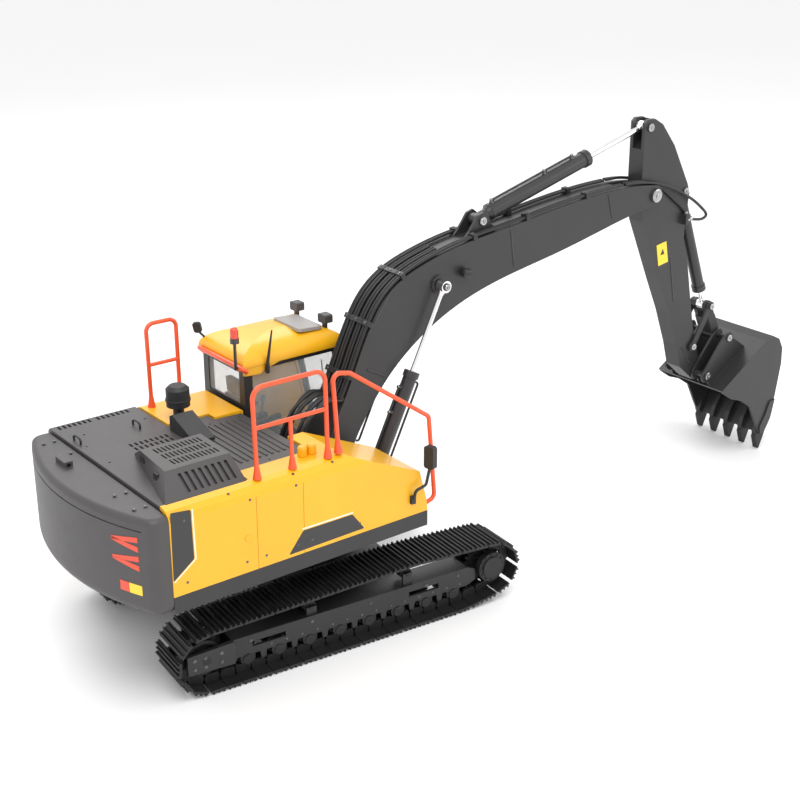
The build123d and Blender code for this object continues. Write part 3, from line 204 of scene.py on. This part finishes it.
BLACK = paint("black_satin", (0.017, 0.017, 0.018), 0.42, vary=0.12, wear=0.30, wear_colour=(0.10, 0.10, 0.10),
              grain=1400, grain_depth=0.00003, smudge=0.16)
TRACK = paint("track_black", (0.020, 0.020, 0.021), 0.46, metallic=0.35, vary=0.18, wear=0.55,
              wear_colour=(0.16, 0.155, 0.15), grain=1900, grain_depth=0.00005, smudge=0.2, round_edge=0.0003)
YELLOW = paint("body_yellow", (0.84, 0.42, 0.006), 0.36, vary=0.035, wear=0.18, wear_colour=(0.95, 0.66, 0.12),
               grain=2600, grain_depth=0.000012, coat=0.25, smudge=0.10, round_edge=0.0006)
GREY = paint("frame_grey", (0.032, 0.031, 0.032), 0.40, metallic=0.15, vary=0.07, wear=0.30,
             wear_colour=(0.17, 0.165, 0.16), grain=2200, grain_depth=0.00002, smudge=0.14)
HOOD = paint("hood_grey", (0.060, 0.056, 0.056), 0.47, vary=0.05, wear=0.22, wear_colour=(0.20, 0.19, 0.19),
             grain=2400, grain_depth=0.00003, smudge=0.12, round_edge=0.0006)
RED = paint("rail_red", (0.80, 0.085, 0.018), 0.33, vary=0.05, wear=0.2, wear_colour=(0.9, 0.25, 0.12),
            grain=2600, grain_depth=0.000012, coat=0.3, smudge=0.08, round_edge=0.0002)
PLASTIC = paint("black_plastic", (0.018, 0.018, 0.020), 0.5, vary=0.1, wear=0.2, wear_colour=(0.07, 0.07, 0.07),
                grain=2600, grain_depth=0.00004, smudge=0.12)
HOSE = paint("hose_rubber", (0.011, 0.011, 0.012), 0.44, vary=0.15, grain=3000, grain_depth=0.00006,
             smudge=0.15, round_edge=0.0001)
ROOF_GREY = paint("roof_grey", (0.33, 0.31, 0.30), 0.38, vary=0.05, wear=0.1, wear_colour=(0.5, 0.5, 0.5),
                  grain=2400, grain_depth=0.00002)
SEAT = paint("seat_cloth", (0.028, 0.028, 0.032), 0.75, vary=0.2, grain=1700, grain_depth=0.00018, smudge=0.2,
             specks=0.35)
GREEN = paint("board_green", (0.012, 0.10, 0.035), 0.35, vary=0.15, grain=800, grain_depth=0.00004, coat=0.4)
BLUE = paint("wrap_blue", (0.02, 0.06, 0.22), 0.3, vary=0.1, grain=500, grain_depth=0.00005, coat=0.3)
CHROME = metal("rod_chrome", (0.86, 0.86, 0.88), 0.10, stretch=25.0, vary=0.03)
STEEL = metal("machined_steel", (0.60, 0.60, 0.60), 0.27)
BARREL = paint("barrel_grey", (0.040, 0.038, 0.040), 0.34, metallic=0.25, vary=0.06, wear=0.25,
               wear_colour=(0.2, 0.2, 0.2), grain=2200, grain_depth=0.00002, smudge=0.14)
GLASS = clear("window", (0.62, 0.68, 0.70), 0.03, 0.20)
LENS = paint("red_lens", (0.72, 0.045, 0.015), 0.12, vary=0.15, grain=300, grain_depth=0.00008, coat=0.8)

LOOK = {
    BLACK: "car_body track_frame_left track_frame_right final_drives cab_frame",
    TRACK: "track_links_left track_links_right track_shoes_left track_shoes_right lower_rollers carrier_rollers "
           "sprocket_left sprocket_right idler_left idler_right bucket_teeth",
    YELLOW: "body_panel_right body_panel_left cab_roof cab_door filler_caps",
    GREY: "turntable_frame boom arm rocker_links h_link bucket",
    HOOD: "engine_hood hood_scoop counterweight work_lamps",
    RED: "right_handrail front_handrail left_handrail cab_rear_rail",
    PLASTIC: "exhaust_outlet air_precleaner cab_controls antenna mirrors operator_seat",
    HOSE: "boom_lines foot_hoses tip_hoses",
    ROOF_GREY: "roof_hatch",
    BARREL: "boom_barrel_left boom_barrel_right arm_barrel bucket_barrel",
    CHROME: "boom_rod_left boom_rod_right arm_rod bucket_rod",
    STEEL: "slew_ring_gear swing_motor swing_pinion",
    GREEN: "control_board",
    BLUE: "battery_pack",
    GLASS: "cab_glass",
    LENS: "beacon",
}
for look, names in LOOK.items():
    for name in names.split():
        mesh = NODES[name].data
        mesh.materials.clear()
        mesh.materials.append(look)

# ---------------------------------------------------------------- pieces
TRACK_TURN = math.radians(-5.67)
bpy.context.view_layer.update()


def under(x, y, z):
    """the same for the undercarriage, which stands turned under the body"""
    return at(x * math.cos(TRACK_TURN) - y * math.sin(TRACK_TURN),
              x * math.sin(TRACK_TURN) + y * math.cos(TRACK_TURN), z)


def touch(node, start, way):
    """where a line from start along way meets a CAD node, and the outward direction there"""
    obj = NODES[node]
    inverse = obj.matrix_world.inverted()
    hit, place, normal, _ = obj.ray_cast(inverse @ start, (inverse.to_3x3() @ Vector(way)).normalized())
    if not hit:
        return None
    return obj.matrix_world @ place, (obj.matrix_world.to_3x3() @ normal).normalized()


def make(name, bm, look, body, angle=35.0):
    bmesh.ops.recalc_face_normals(bm, faces=bm.faces[:])
    mesh = bpy.data.meshes.new(name)
    bm.to_mesh(mesh)
    bm.free()
    for face in mesh.polygons:
        face.use_smooth = True
    mesh.set_sharp_from_angle(angle=math.radians(angle))
    mesh.materials.append(look)
    obj = bpy.data.objects.new(name, mesh)
    bpy.context.scene.collection.objects.link(obj)
    if body:
        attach(obj, body)
    return obj


def lathe(bm, origin, axis, profile, sides=20):
    turn = Vector(axis).to_track_quat("Z", "Y")
    rings = []
    for r, h in profile:
        ring = []
        for i in range(sides):
            a = 2 * math.pi * i / sides
            ring.append(bm.verts.new(origin + turn @ Vector((r * math.cos(a) * MM, r * math.sin(a) * MM, h * MM))))
        rings.append(ring)
    for low, high in zip(rings, rings[1:]):
        for i in range(sides):
            j = (i + 1) % sides
            bm.faces.new((low[i], low[j], high[j], high[i]))
    bm.faces.new(rings[0])
    bm.faces.new(rings[-1])


def bolt(bm, origin, axis, r):
    lathe(bm, origin, axis, [(1.35 * r, -0.2), (1.35 * r, 0.18 * r), (1.25 * r, 0.24 * r)], 16)
    lathe(bm, origin, axis, [(r, 0.1 * r), (r, 0.75 * r), (0.84 * r, 0.9 * r), (0.4 * r, 0.9 * r)], 6)


def bolt_on(bm, nodes, start, way, r):
    hits = [touch(node, start, way) for node in nodes]
    hits = [hit for hit in hits if hit]
    if hits:
        place, normal = min(hits, key=lambda hit: (hit[0] - start).length)
        bolt(bm, place, -Vector(way).normalized(), r)


def smooth_path(points, steps):
    ends = [2 * points[0] - points[1]] + points + [2 * points[-1] - points[-2]]
    out = []
    for a, b, c, d in zip(ends, ends[1:], ends[2:], ends[3:]):
        for i in range(steps):
            t = i / steps
            out.append(0.5 * (2 * b + (c - a) * t + (2 * a - 5 * b + 4 * c - d) * t * t
                              + (3 * b - a - 3 * c + d) * t ** 3))
    out.append(points[-1])
    return out


def pipe(bm, points, radius, sides=12, steps=8, ripple=0.0):
    path = smooth_path(points, steps)
    side = None
    rings = []
    for i, p in enumerate(path):
        ahead = (path[min(i + 1, len(path) - 1)] - path[max(i - 1, 0)]).normalized()
        if side is None:
            side = ahead.orthogonal().normalized()
        side = (side - ahead * side.dot(ahead)).normalized()
        other = ahead.cross(side)
        r = radius * MM * (1 - ripple * (i % 2))
        rings.append([bm.verts.new(p + (side * math.cos(2 * math.pi * k / sides)
                                        + other * math.sin(2 * math.pi * k / sides)) * r) for k in range(sides)])
    for low, high in zip(rings, rings[1:]):
        for k in range(sides):
            j = (k + 1) % sides
            bm.faces.new((low[k], low[j], high[j], high[k]))
    bm.faces.new(rings[0])
    bm.faces.new(rings[-1])


def plank(bm, loop, push):
    low = [bm.verts.new(p) for p in loop]
    high = [bm.verts.new(p + push) for p in loop]
    bm.faces.new(low)
    bm.faces.new(high)
    for i in range(len(low)):
        j = (i + 1) % len(low)
        bm.faces.new((low[i], low[j], high[j], high[i]))


def rounded(points, r):
    """a flat outline with its corners rounded"""
    out = []
    for i, p in enumerate(points):
        p = Vector(p)
        back = (Vector(points[i - 1]) - p).normalized() * r
        ahead = (Vector(points[(i + 1) % len(points)]) - p).normalized() * r
        for k in range(5):
            t = k / 4
            out.append(p + back * (1 - t) ** 2 + ahead * t ** 2)
    return out


def sticker(bm, node, corners, way, across, down, lift=0.25):
    """a thin patch laid on a CAD face; corners are start points of lines along way"""
    a, b, c, d = corners
    way = Vector(way).normalized()
    sheets = []
    for high in (lift, -0.15):
        rows = []
        for j in range(down + 1):
            row = []
            for i in range(across + 1):
                u, v = i / across, j / down
                start = (a * (1 - u) + b * u) * (1 - v) + (d * (1 - u) + c * u) * v
                hit = touch(node, start, way)
                if not hit:
                    return
                row.append(bm.verts.new(hit[0] - way * high * MM))
            rows.append(row)
        for low, top in zip(rows, rows[1:]):
            for i in range(across):
                bm.faces.new((low[i], low[i + 1], top[i + 1], top[i]))
        sheets.append([rows[0][i] for i in range(across)] + [rows[j][across] for j in range(down)]
                      + [rows[down][i] for i in range(across, 0, -1)] + [rows[j][0] for j in range(down, 0, -1)])
    upper, lower = sheets
    for i in range(len(upper)):
        j = (i + 1) % len(upper)
        bm.faces.new((upper[i], upper[j], lower[j], lower[i]))


DECAL = paint("decal_black", (0.016, 0.016, 0.017), 0.30, vary=0.06, grain=3000, grain_depth=0.00001, coat=0.3,
              round_edge=0.00002)
DECAL_RED = paint("decal_red", (0.75, 0.06, 0.02), 0.30, vary=0.05, grain=3000, grain_depth=0.00001, coat=0.3,
                  round_edge=0.00002)
DECAL_YELLOW = paint("decal_yellow", (0.85, 0.62, 0.02), 0.32, vary=0.04, grain=3000, grain_depth=0.00001,
                     coat=0.3, round_edge=0.00002)
DECAL_PALE = paint("decal_pale", (0.86, 0.80, 0.62), 0.32, vary=0.04, grain=3000, grain_depth=0.00001, coat=0.3,
                   round_edge=0.00002)
BOLT = metal("bolt_dark_zinc", (0.16, 0.16, 0.165), 0.33, vary=0.2)
BRIGHT = metal("pin_bright", (0.42, 0.42, 0.43), 0.24, vary=0.15)
LAMP_GLASS = paint("lamp_glass", (0.85, 0.86, 0.86), 0.08, vary=0.03, grain=400, grain_depth=0.00006, coat=0.9)
WELD = paint("weld_bead", (0.047, 0.045, 0.046), 0.36, metallic=0.3, vary=0.2, wear=0.4,
             wear_colour=(0.2, 0.2, 0.2), grain=2500, grain_depth=0.00003)

# pin ends on the digging gear
for name, x, z, r, body, nodes in (
        ("boom_foot", 20.0, 104.0, 4.2, "boom", ("boom", "turntable_frame")),
        ("arm_pivot", 356.5, 261.9, 5.6, "boom", ("boom",)),
        ("arm_tail", 351.5, 318.5, 3.4, "arm", ("arm",)),
        ("bucket_ram_base", 401.0, 258.0, 3.2, "arm", ("arm",)),
        ("arm_ram_base", 170.0, 268.0, 3.4, "boom", ("boom",)),
        ("rocker_pivot", 424.5, 111.6, 3.0, "arm", ("arm", "rocker_links")),
        ("bucket_pivot", 433.1, 84.8, 3.4, "bucket", ("bucket",)),
        ("bucket_link", 459.0, 116.0, 3.2, "bucket", ("bucket",)),
        ("link_pin", 444.9, 145.8, 3.0, "rocker", ("rocker_links",)),
        ("boom_ram_eye", 121.4, 228.4, 2.6, "boom", ("boom",))):
    bm = bmesh.new()
    for s in (1, -1):
        hits = [touch(node, at(x, 60 * s, z), (0, -s, 0)) for node in nodes]
        hits = [hit[0] for hit in hits if hit]
        if hits:
            place = max(hits, key=lambda p: s * p.y)
            lathe(bm, place, (0, s, 0), [(r, -0.4), (r, 0.7), (0.86 * r, 1.1), (0.45 * r, 1.1), (0.38 * r, 0.75)], 28)
            lathe(bm, place, (0, s, 0), [(0.3 * r, 0.5), (0.3 * r, 1.4), (0.16 * r, 1.7), (0.1 * r, 2.0)], 12)
    make("pin_ends_" + name, bm, BRIGHT, body)

# bolts on the drives and the track frames: start is a point outside, and each bolt lands on the face it meets
TRACK_FRAMES = ("track_frame_left", "track_frame_right")
bm = bmesh.new()
for s in (1, -1):
    out = under(0, s, 0) - under(0, 0, 0)
    for i in range(8):
        a = 2 * math.pi * i / 8
        start = under(117 + 7.6 * math.cos(a), s * 100, 28.3 + 7.6 * math.sin(a))
        bolt_on(bm, ("final_drives",) + TRACK_FRAMES, start, -out, 0.95)
    for x in (-128, -120, -108, -84, -36, 12, 60, 88):
        bolt_on(bm, TRACK_FRAMES, under(x, s * 100, 27.6), -out, 0.95)
    for x in (-128, -120, -108):
        bolt_on(bm, TRACK_FRAMES, under(x, s * 100, 20.6), -out, 0.95)
    for i in range(7):
        x = 84 - 24.4 * i
        for dx in (-6, 6):
            bolt_on(bm, TRACK_FRAMES, under(x + dx, s * 100, 20.2), -out, 0.6)
make("track_frame_bolts", bm, BOLT, "undercarriage")

bm = bmesh.new()
for x in (-168, -160):
    for y in (-66, -40, 40, 66):
        bolt_on(bm, ("counterweight",), at(x, y, 200), (0, 0, -1), 1.3)
for x in (-110, -60, -28):
    bolt_on(bm, ("body_panel_right",), at(x, -84.5, 200), (0, 0, -1), 0.8)
for x, z in ((-145, 97), (-100, 97), (-85, 97), (-60, 97), (-48, 97), (-8, 97), (-145, 141), (-96, 141), (-60, 141)):
    bolt_on(bm, ("body_panel_right",), at(x, -120, z), (0, 1, 0), 0.7)
    bolt_on(bm, ("body_panel_left",), at(x, 120, z), (0, -1, 0), 0.7)
for x, y in ((-142, -70), (-96, -70), (-140, 60), (-92, 60), (-60, 22), (-36, 22), (-36, -56), (-60, -56),
             (-148, 6), (-148, 40)):
    bolt_on(bm, ("engine_hood",), at(x, y, 200), (0, 0, -1), 0.75)
make("body_bolts", bm, BOLT, "upper")

# lift eyes and grab handles on the hood, a latch on the scoop
bm = bmesh.new()
for x, y in ((-150, 50), (-104, 50)):
    top = touch("engine_hood", at(x, y, 200), (0, 0, -1))[0]
    pipe(bm, [top + Vector(p) * MM for p in ((0, -5, -0.5), (0, -5, 3.2), (0, 0, 4.4), (0, 5, 3.2), (0, 5, -0.5))],
         0.8, 12, 6)
make("hood_grab_handles", bm, BLACK, "upper")
bm = bmesh.new()
for y in (-50, -20):
    hit = touch("hood_scoop", at(-200, y, 157), (1, 0, 0))
    if hit:
        plank(bm, [hit[0] + Vector((0.3, a, b)) * MM for a, b in rounded([(-3, -2.4), (3, -2.4), (3, 2.4), (-3, 2.4)],
                                                                        1.0)], Vector((-1.3 * MM, 0, 0)))
make("scoop_latches", bm, BLACK, "upper")

# dark patches with a pale edge on the right panel
REAR_PATCH = [(-154.4, 149.0), (-139.9, 147.2), (-139.3, 112.2), (-155.0, 100.6)]
FRONT_PATCH = [(-67.3, 91.4), (-55.3, 106.1), (-14.3, 105.8), (-4.2, 92.2)]
bm = bmesh.new()
edge = bmesh.new()
for outline in (REAR_PATCH, FRONT_PATCH):
    plank(bm, [at(x, -88.02, z) for x, z in rounded(outline, 1.2)], Vector((0, -0.10 * MM, 0)))
plank(edge, [at(x, -88.02, z) for x, z in ((-139.2, 147.3), (-138.2, 147.2), (-137.6, 111.6), (-153.9, 99.6),
                                          (-154.8, 100.0), (-138.6, 112.0))], Vector((0, -0.08 * MM, 0)))
plank(edge, [at(x, -88.02, z) for x, z in ((-55.6, 106.8), (-14.0, 106.5), (-13.4, 107.6), (-56.2, 107.9))],
      Vector((0, -0.08 * MM, 0)))
make("side_patches", bm, DECAL, "upper")
make("side_patch_edges", edge, DECAL_PALE, "upper")

# warning chevrons and blank plates on the tail, blank plates on the arm
TAIL_START = -260


def on_tail(*points):
    return [at(TAIL_START, y, z) for y, z in points]


bm = bmesh.new()
for z in (128.0, 114.5):
    for rise in (3.4, -3.4):
        stroke = on_tail((-56, z - 1.3), (-56, z + 1.3), (-77, z + rise + 1.9), (-77, z + rise - 1.9))
        sticker(bm, "counterweight", stroke, (1, 0, 0), 2, 8)
sticker(bm, "counterweight", on_tail((-68, 92), (-61, 92), (-61, 99), (-68, 99)), (1, 0, 0), 3, 2)
make("tail_chevrons", bm, DECAL_RED, "upper")
bm = bmesh.new()
sticker(bm, "counterweight", on_tail((-78, 92), (-68.4, 92), (-68.4, 99), (-78, 99)), (1, 0, 0), 4, 2)
make("tail_plate", bm, DECAL_YELLOW, "upper")
bm = bmesh.new()
plate = [at(373, -60, 196), at(385, -60, 198), at(381, -60, 217), at(369, -60, 215)]
sticker(bm, "arm", plate, (0, 1, 0), 1, 1)
sticker(bm, "arm", [Vector((p.x, -p.y, p.z)) for p in plate], (0, -1, 0), 1, 1)
make("arm_plates", bm, DECAL_YELLOW, "arm")
bm = bmesh.new()
mark = [at(374.5, -60, 205.5), at(379.5, -60, 206.0), at(377.0, -60, 211.0)]
mark.append(mark[2])
sticker(bm, "arm", mark, (0, 1, 0), 1, 1, 0.4)
sticker(bm, "arm", [Vector((p.x, -p.y, p.z)) for p in mark], (0, -1, 0), 1, 1, 0.4)
bmesh.ops.remove_doubles(bm, verts=bm.verts[:], dist=0.00001)
make("arm_plate_marks", bm, DECAL, "arm")

# weld beads on the boom and the arm
def bead(bm, node, p, q, count=16):
    for s in (1, -1):
        line = []
        for i in range(count + 1):
            t = i / count
            hit = touch(node, at(p[0] * (1 - t) + q[0] * t, s * 60, p[1] * (1 - t) + q[1] * t), (0, -s, 0))
            if hit:
                line.append(hit[0])
        if len(line) > 3:
            pipe(bm, line, 0.75, 8, 2, 0.22)


bm = bmesh.new()
bead(bm, "boom", (193.9, 258.0), (198.2, 228.0))
bead(bm, "boom", (54.5, 174.8), (70.5, 166.0), 12)
bead(bm, "boom", (77.0, 231.5), (55.5, 202.5), 20)
bead(bm, "boom", (300.0, 270.5), (306.0, 250.0), 12)
make("boom_welds", bm, WELD, "boom")
bm = bmesh.new()
bead(bm, "arm", (388.0, 200.0), (396.0, 160.0), 20)
bead(bm, "arm", (412.0, 112.0), (424.0, 96.0), 12)
make("arm_welds", bm, WELD, "arm")

# clamps over the hose runs on the boom
RISE = [(37.5, 163.9), (46, 183), (55.5, 203), (66.5, 221), (82, 235), (105.5, 245.4)]
ALONG = [(126, 251), (142.4, 254.4), (193.9, 261), (245.8, 268), (296.9, 272.6)]
bm = bmesh.new()
caps = bmesh.new()
for p, q, t, groups in ((RISE[0], RISE[1], 0.4, 3), (RISE[2], RISE[3], 0.3, 3), (RISE[4], RISE[5], 0.3, 3),
                        (ALONG[1], ALONG[2], 0.3, 2), (ALONG[2], ALONG[3], 0.35, 2), (ALONG[3], ALONG[4], 0.6, 2)):
    tangent = Vector((q[0] - p[0], 0, q[1] - p[1])).normalized()
    outward = Vector((-tangent.z, 0, tangent.x))
    base = at(p[0] + (q[0] - p[0]) * t, 0, p[1] + (q[1] - p[1]) * t)
    spans = [(-14.6, -7.8), (7.8, 14.6)] + ([(-7.4, 7.4)] if groups == 3 else [])
    for low, high in spans:
        loop = [base + outward * h * MM + Vector((0, y * MM, 0)) - tangent * 2 * MM
                for y, h in rounded([(low, -0.5), (high, -0.5), (high, 4.9), (low, 4.9)], 0.7)]
        plank(bm, loop, tangent * 4 * MM)
        bolt(caps, base + outward * 4.8 * MM + Vector((0, 0.5 * (low + high) * MM, 0)), outward, 0.8)
make("hose_clamps", bm, BLACK, "boom")
make("hose_clamp_bolts", caps, BOLT, "boom")

# hoses that cross the joints, in place of the CAD hoses
bm = bmesh.new()
for y in (-12.4, -9.6, -5.5, -2.5, 2.5, 5.5, 9.6, 12.4):
    bulge = 3.0 * math.sin(y * 1.7)
    pipe(bm, [at(x, y + dy, z) for x, dy, z in ((-8, 0, 80.3), (-9 - bulge * 0.3, 0, 104), (-7 + bulge, 0, 128),
                                                (4 + bulge, 0, 147), (19, 0, 157.5), (31, 0, 155.5),
                                                (33.2, 0, 157.5))], 1.25, 12, 7)
foot = make("foot_hoses_bent", bm, HOSE, None, 60)
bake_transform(foot)
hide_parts("foot_hoses")
bm = bmesh.new()
for s in (1, -1):
    pipe(bm, [at(x, s * 12.4, z) for x, z in ((320.5, 275.9), (335, 275.2), (357, 271.8), (379, 264.8), (403, 252.6),
                                              (418, 242.2), (425.5, 234.6), (419.4, 231.4), (404.0, 233.8))],
         1.25, 12, 7)
    pipe(bm, [at(x, s * 9.8, z) for x, z in ((320.5, 275.9), (340, 275.2), (363.7, 268.4), (385, 253.5),
                                             (397.5, 243.5), (401.5, 237.8))], 1.25, 12, 7)
tip = make("tip_hoses_bent", bm, HOSE, None, 60)
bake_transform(tip)
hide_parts("tip_hoses")
bm = bmesh.new()
for s in (1, -1):
    for x, y, z, way in ((404, 12.4, 233.8, (-1, 0, -0.3)), (401.5, 9.8, 238, (0.1, 0, -1))):
        lathe(bm, at(x, s * y, z), way, [(1.4, -2.5), (2.0, -2.4), (2.0, 0.4), (1.6, 0.6), (1.6, 2.2), (1.2, 2.5)], 14)
make("arm_hose_fittings", bm, BRIGHT, "arm")

# pipes and fittings on the ram barrels
for name, node, body, low, high, yc, r, last in (
        ("boom_left", "boom_barrel_left", "boom_barrel_l", (52, 86), (121.4, 228.4), 20.5, 6.2, 76),
        ("boom_right", "boom_barrel_right", "boom_barrel_r", (52, 86), (121.4, 228.4), -20.5, 6.2, 76),
        ("arm", "arm_barrel", "arm_ram_barrel", (170, 268), (351.5, 318.5), 0.0, 7.0, 106)):
    tangent = Vector((high[0] - low[0], 0, high[1] - low[1])).normalized()
    outward = Vector((-tangent.z, 0, tangent.x))
    base = at(low[0], yc, low[1])
    first = 18
    hit = touch(node, base + tangent * first * MM + outward * 40 * MM, -outward)
    tall = (hit[0] - base).dot(outward) / MM if hit else r
    bm = bmesh.new()
    route = ((first, tall - 0.6), (first + 1, tall + 1.6), (first + 6, tall + 2.0),
             (0.5 * (first + last), tall + 2.0),
             (last - 6, tall + 2.0), (last - 1, tall + 1.6), (last, tall - 1.0))
    pipe(bm, [base + tangent * a * MM + outward * b * MM for a, b in route], 0.95, 12, 8)
    make("ram_pipe_" + name, bm, BLACK, body)
    bm = bmesh.new()
    for a in (first, last, 0.35 * first + 0.65 * last):
        lathe(bm, base + tangent * a * MM + outward * (tall - 0.4) * MM, outward,
              [(2.1, 0), (2.1, 1.8), (1.5, 2.0), (1.5, 3.4), (1.0, 3.9)], 6)
    make("ram_fittings_" + name, bm, BOLT, body)

# work lamp on the side of the boom
bm = bmesh.new()
lens = bmesh.new()
face = touch("boom", at(145.4, -60, 233.6), (0, 1, 0))[0]
spot = face + Vector((0, -4.2, 0)) * MM
way = Vector((1, 0, -0.25)).normalized()
lathe(bm, spot, way, [(1.5, -4.2), (3.0, -3.6), (3.8, -1.2), (4.0, 2.4), (3.6, 2.5), (3.5, 1.7)], 24)
plank(bm, [face + Vector((a, 0, b)) * MM for a, b in rounded([(-2, -2), (2, -2), (2, 2), (-2, 2)], 0.6)],
      Vector((0, -3.0 * MM, 0)))
lathe(lens, spot, way, [(3.4, 1.5), (3.4, 1.9), (2.4, 2.3), (0.8, 2.5)], 24)
make("boom_lamp", bm, BLACK, "boom")
make("boom_lamp_lens", lens, LAMP_GLASS, "boom")


# seat cushions
def cushion(name, origin, along_vec, across_vec, height, length, width, channels):
    """a stuffed pad with sewn channels across it"""
    bm = bmesh.new()
    normal = along_vec.cross(across_vec).normalized()
    n, m = 36, 24
    rows = []
    for i in range(n + 1):
        row = []
        for j in range(m + 1):
            u, v = i / n, j / m
            a, b = abs(2 * u - 1), abs(2 * v - 1)
            puff = (max(0.0, 1 - a ** 6) * max(0.0, 1 - b ** 6)) ** 0.5
            seam = 1 - 0.30 * math.exp(-((u * channels) % 1.0 - 0.5) ** 2 / 0.004)
            row.append(bm.verts.new(origin + along_vec * (u - 0.5) * length * MM + across_vec * (v - 0.5) * width * MM
                                    + normal * height * puff * seam * MM))
        rows.append(row)
    faces = [bm.faces.new((rows[i][j], rows[i + 1][j], rows[i + 1][j + 1], rows[i][j + 1]))
             for i in range(n) for j in range(m)]
    bm.faces.new([rows[0][j] for j in range(m + 1)] + [rows[i][m] for i in range(1, n + 1)]
                 + [rows[n][j] for j in range(m - 1, -1, -1)] + [rows[i][0] for i in range(n - 1, 0, -1)])
    obj = make(name, bm, SEAT, "upper", 70)


cushion("seat_cushion", at(6, 57.5, 115.6), Vector((1, 0, 0)), Vector((0, 1, 0)), 3.4, 25, 23, 4)
lean = Vector((-9.0, 0, 38.0)).normalized()
cushion("back_cushion", at(-7.8, 57.5, 133.0), lean, Vector((0, -1, 0)), -3.0, 32, 21, 5)

# wiper and door handle
bm = bmesh.new()
foot = touch("cab_glass", at(140, 44, 112), (-1, 0, 0))
far = touch("cab_glass", at(140, 60, 146), (-1, 0, 0))
if foot and far:
    lift = Vector((1.3 * MM, 0, 0))
    lathe(bm, foot[0], (1, 0, 0), [(2.2, -0.2), (2.2, 1.2), (1.2, 1.8)], 16)
    pipe(bm, [foot[0] + lift, 0.5 * (foot[0] + far[0]) + lift * 1.5, far[0] + lift], 0.5, 8, 6)
    pipe(bm, [far[0] + lift * 0.5 + Vector((0, -2, -13)) * MM, far[0] + lift * 0.5,
              far[0] + lift * 0.5 + Vector((0, 2, 13)) * MM], 0.55, 6, 5)
make("wiper", bm, PLASTIC, "upper")
bm = bmesh.new()
hit = touch("cab_door", at(20, 140, 110), (0, -1, 0))
if hit:
    pipe(bm, [hit[0] + Vector(p) * MM for p in ((0, -0.4, -5), (0, 2.2, -4.6), (0, 2.6, 0), (0, 2.2, 4.6),
                                                (0, -0.4, 5))], 0.8, 10, 6)
make("door_handle", bm, BLACK, "door")

# the beacon is one node with a black foot under a red lens
BEACON_LENS_FROM = 207.5


def two_tone(name, low_look, high_look, height):
    mat = high_look.copy()
    mat.name = name
    nodes, links = mat.node_tree.nodes, mat.node_tree.links
    bsdf = next(n for n in nodes if n.type == "BSDF_PRINCIPLED")
    old = bsdf.inputs["Base Color"].links[0].from_socket
    geo = nodes.new("ShaderNodeNewGeometry")
    split = nodes.new("ShaderNodeSeparateXYZ")
    links.new(geo.outputs["Position"], split.inputs[0])
    above = maths(nodes, links, "GREATER_THAN", split.outputs["Z"], height * MM)
    links.new(mixed(nodes, links, above, low_look, old), bsdf.inputs["Base Color"])
    return mat


NODES["beacon"].data.materials[0] = two_tone("beacon_two_tone", (0.015, 0.015, 0.016), LENS, BEACON_LENS_FROM)

# ---------------------------------------------------------------- floor, light and camera
floor_mat, nodes, links, bsdf = new_material("studio_floor")
coord = nodes.new("ShaderNodeTexCoord").outputs["Object"]
mist = noise(nodes, links, coord, 3.0, 3.0, 0.5)
links.new(mixed(nodes, links, mist, (0.90, 0.90, 0.90), (0.92, 0.92, 0.92)), bsdf.inputs["Base Color"])
links.new(remap(nodes, links, mist, 0.3, 0.7, 0.55, 0.62), bsdf.inputs["Roughness"])
bpy.ops.mesh.primitive_plane_add(size=30.0, location=(0.0, 0.0, -0.0002))
floor = bpy.context.object
floor.name = "studio_floor"
floor.data.materials.append(floor_mat)

world = bpy.data.worlds.new("studio")
bpy.context.scene.world = world
world.use_nodes = True
world.node_tree.nodes["Background"].inputs["Color"].default_value = (1.0, 1.0, 1.0, 1.0)
world.node_tree.nodes["Background"].inputs["Strength"].default_value = 1.0


def area_light(name, place, target, size, power, colour=(1.0, 1.0, 1.0)):
    data = bpy.data.lights.new(name, "AREA")
    data.shape = "RECTANGLE"
    data.size, data.size_y = size
    data.energy = power
    data.color = colour
    lamp = bpy.data.objects.new(name, data)
    bpy.context.scene.collection.objects.link(lamp)
    lamp.location = place
    lamp.rotation_euler = (Vector(target) - Vector(place)).to_track_quat("-Z", "Y").to_euler()


centre = at(60, 0, 130)
area_light("key_soft", (-0.55, -0.75, 1.55), centre, (1.0, 1.0), 14.0)
area_light("fill_front", (1.25, -0.9, 0.85), centre, (0.9, 0.9), 5.0)
area_light("back_top", (0.2, 1.2, 1.3), centre, (1.4, 0.7), 9.0)

# the camera was solved from the outline of the tracks, the body and the boom
CAMERA_AT = at(-528.2, -801.4, 539.8)
HEADING = math.radians(37.91)
DOWN = math.radians(21.66)
look = Vector((math.sin(HEADING) * math.cos(DOWN), math.cos(HEADING) * math.cos(DOWN), -math.sin(DOWN)))
camera_data = bpy.data.cameras.new("camera")
camera_data.lens = 63.58
camera_data.sensor_width = 36.0
camera_data.clip_start = 0.01
camera = bpy.data.objects.new("camera", camera_data)
bpy.context.scene.collection.objects.link(camera)
camera.location = CAMERA_AT
camera.rotation_euler = look.to_track_quat("-Z", "Y").to_euler()
bpy.context.scene.camera = camera
scene_view = bpy.context.scene.view_settings
scene_view.view_transform = "Standard"
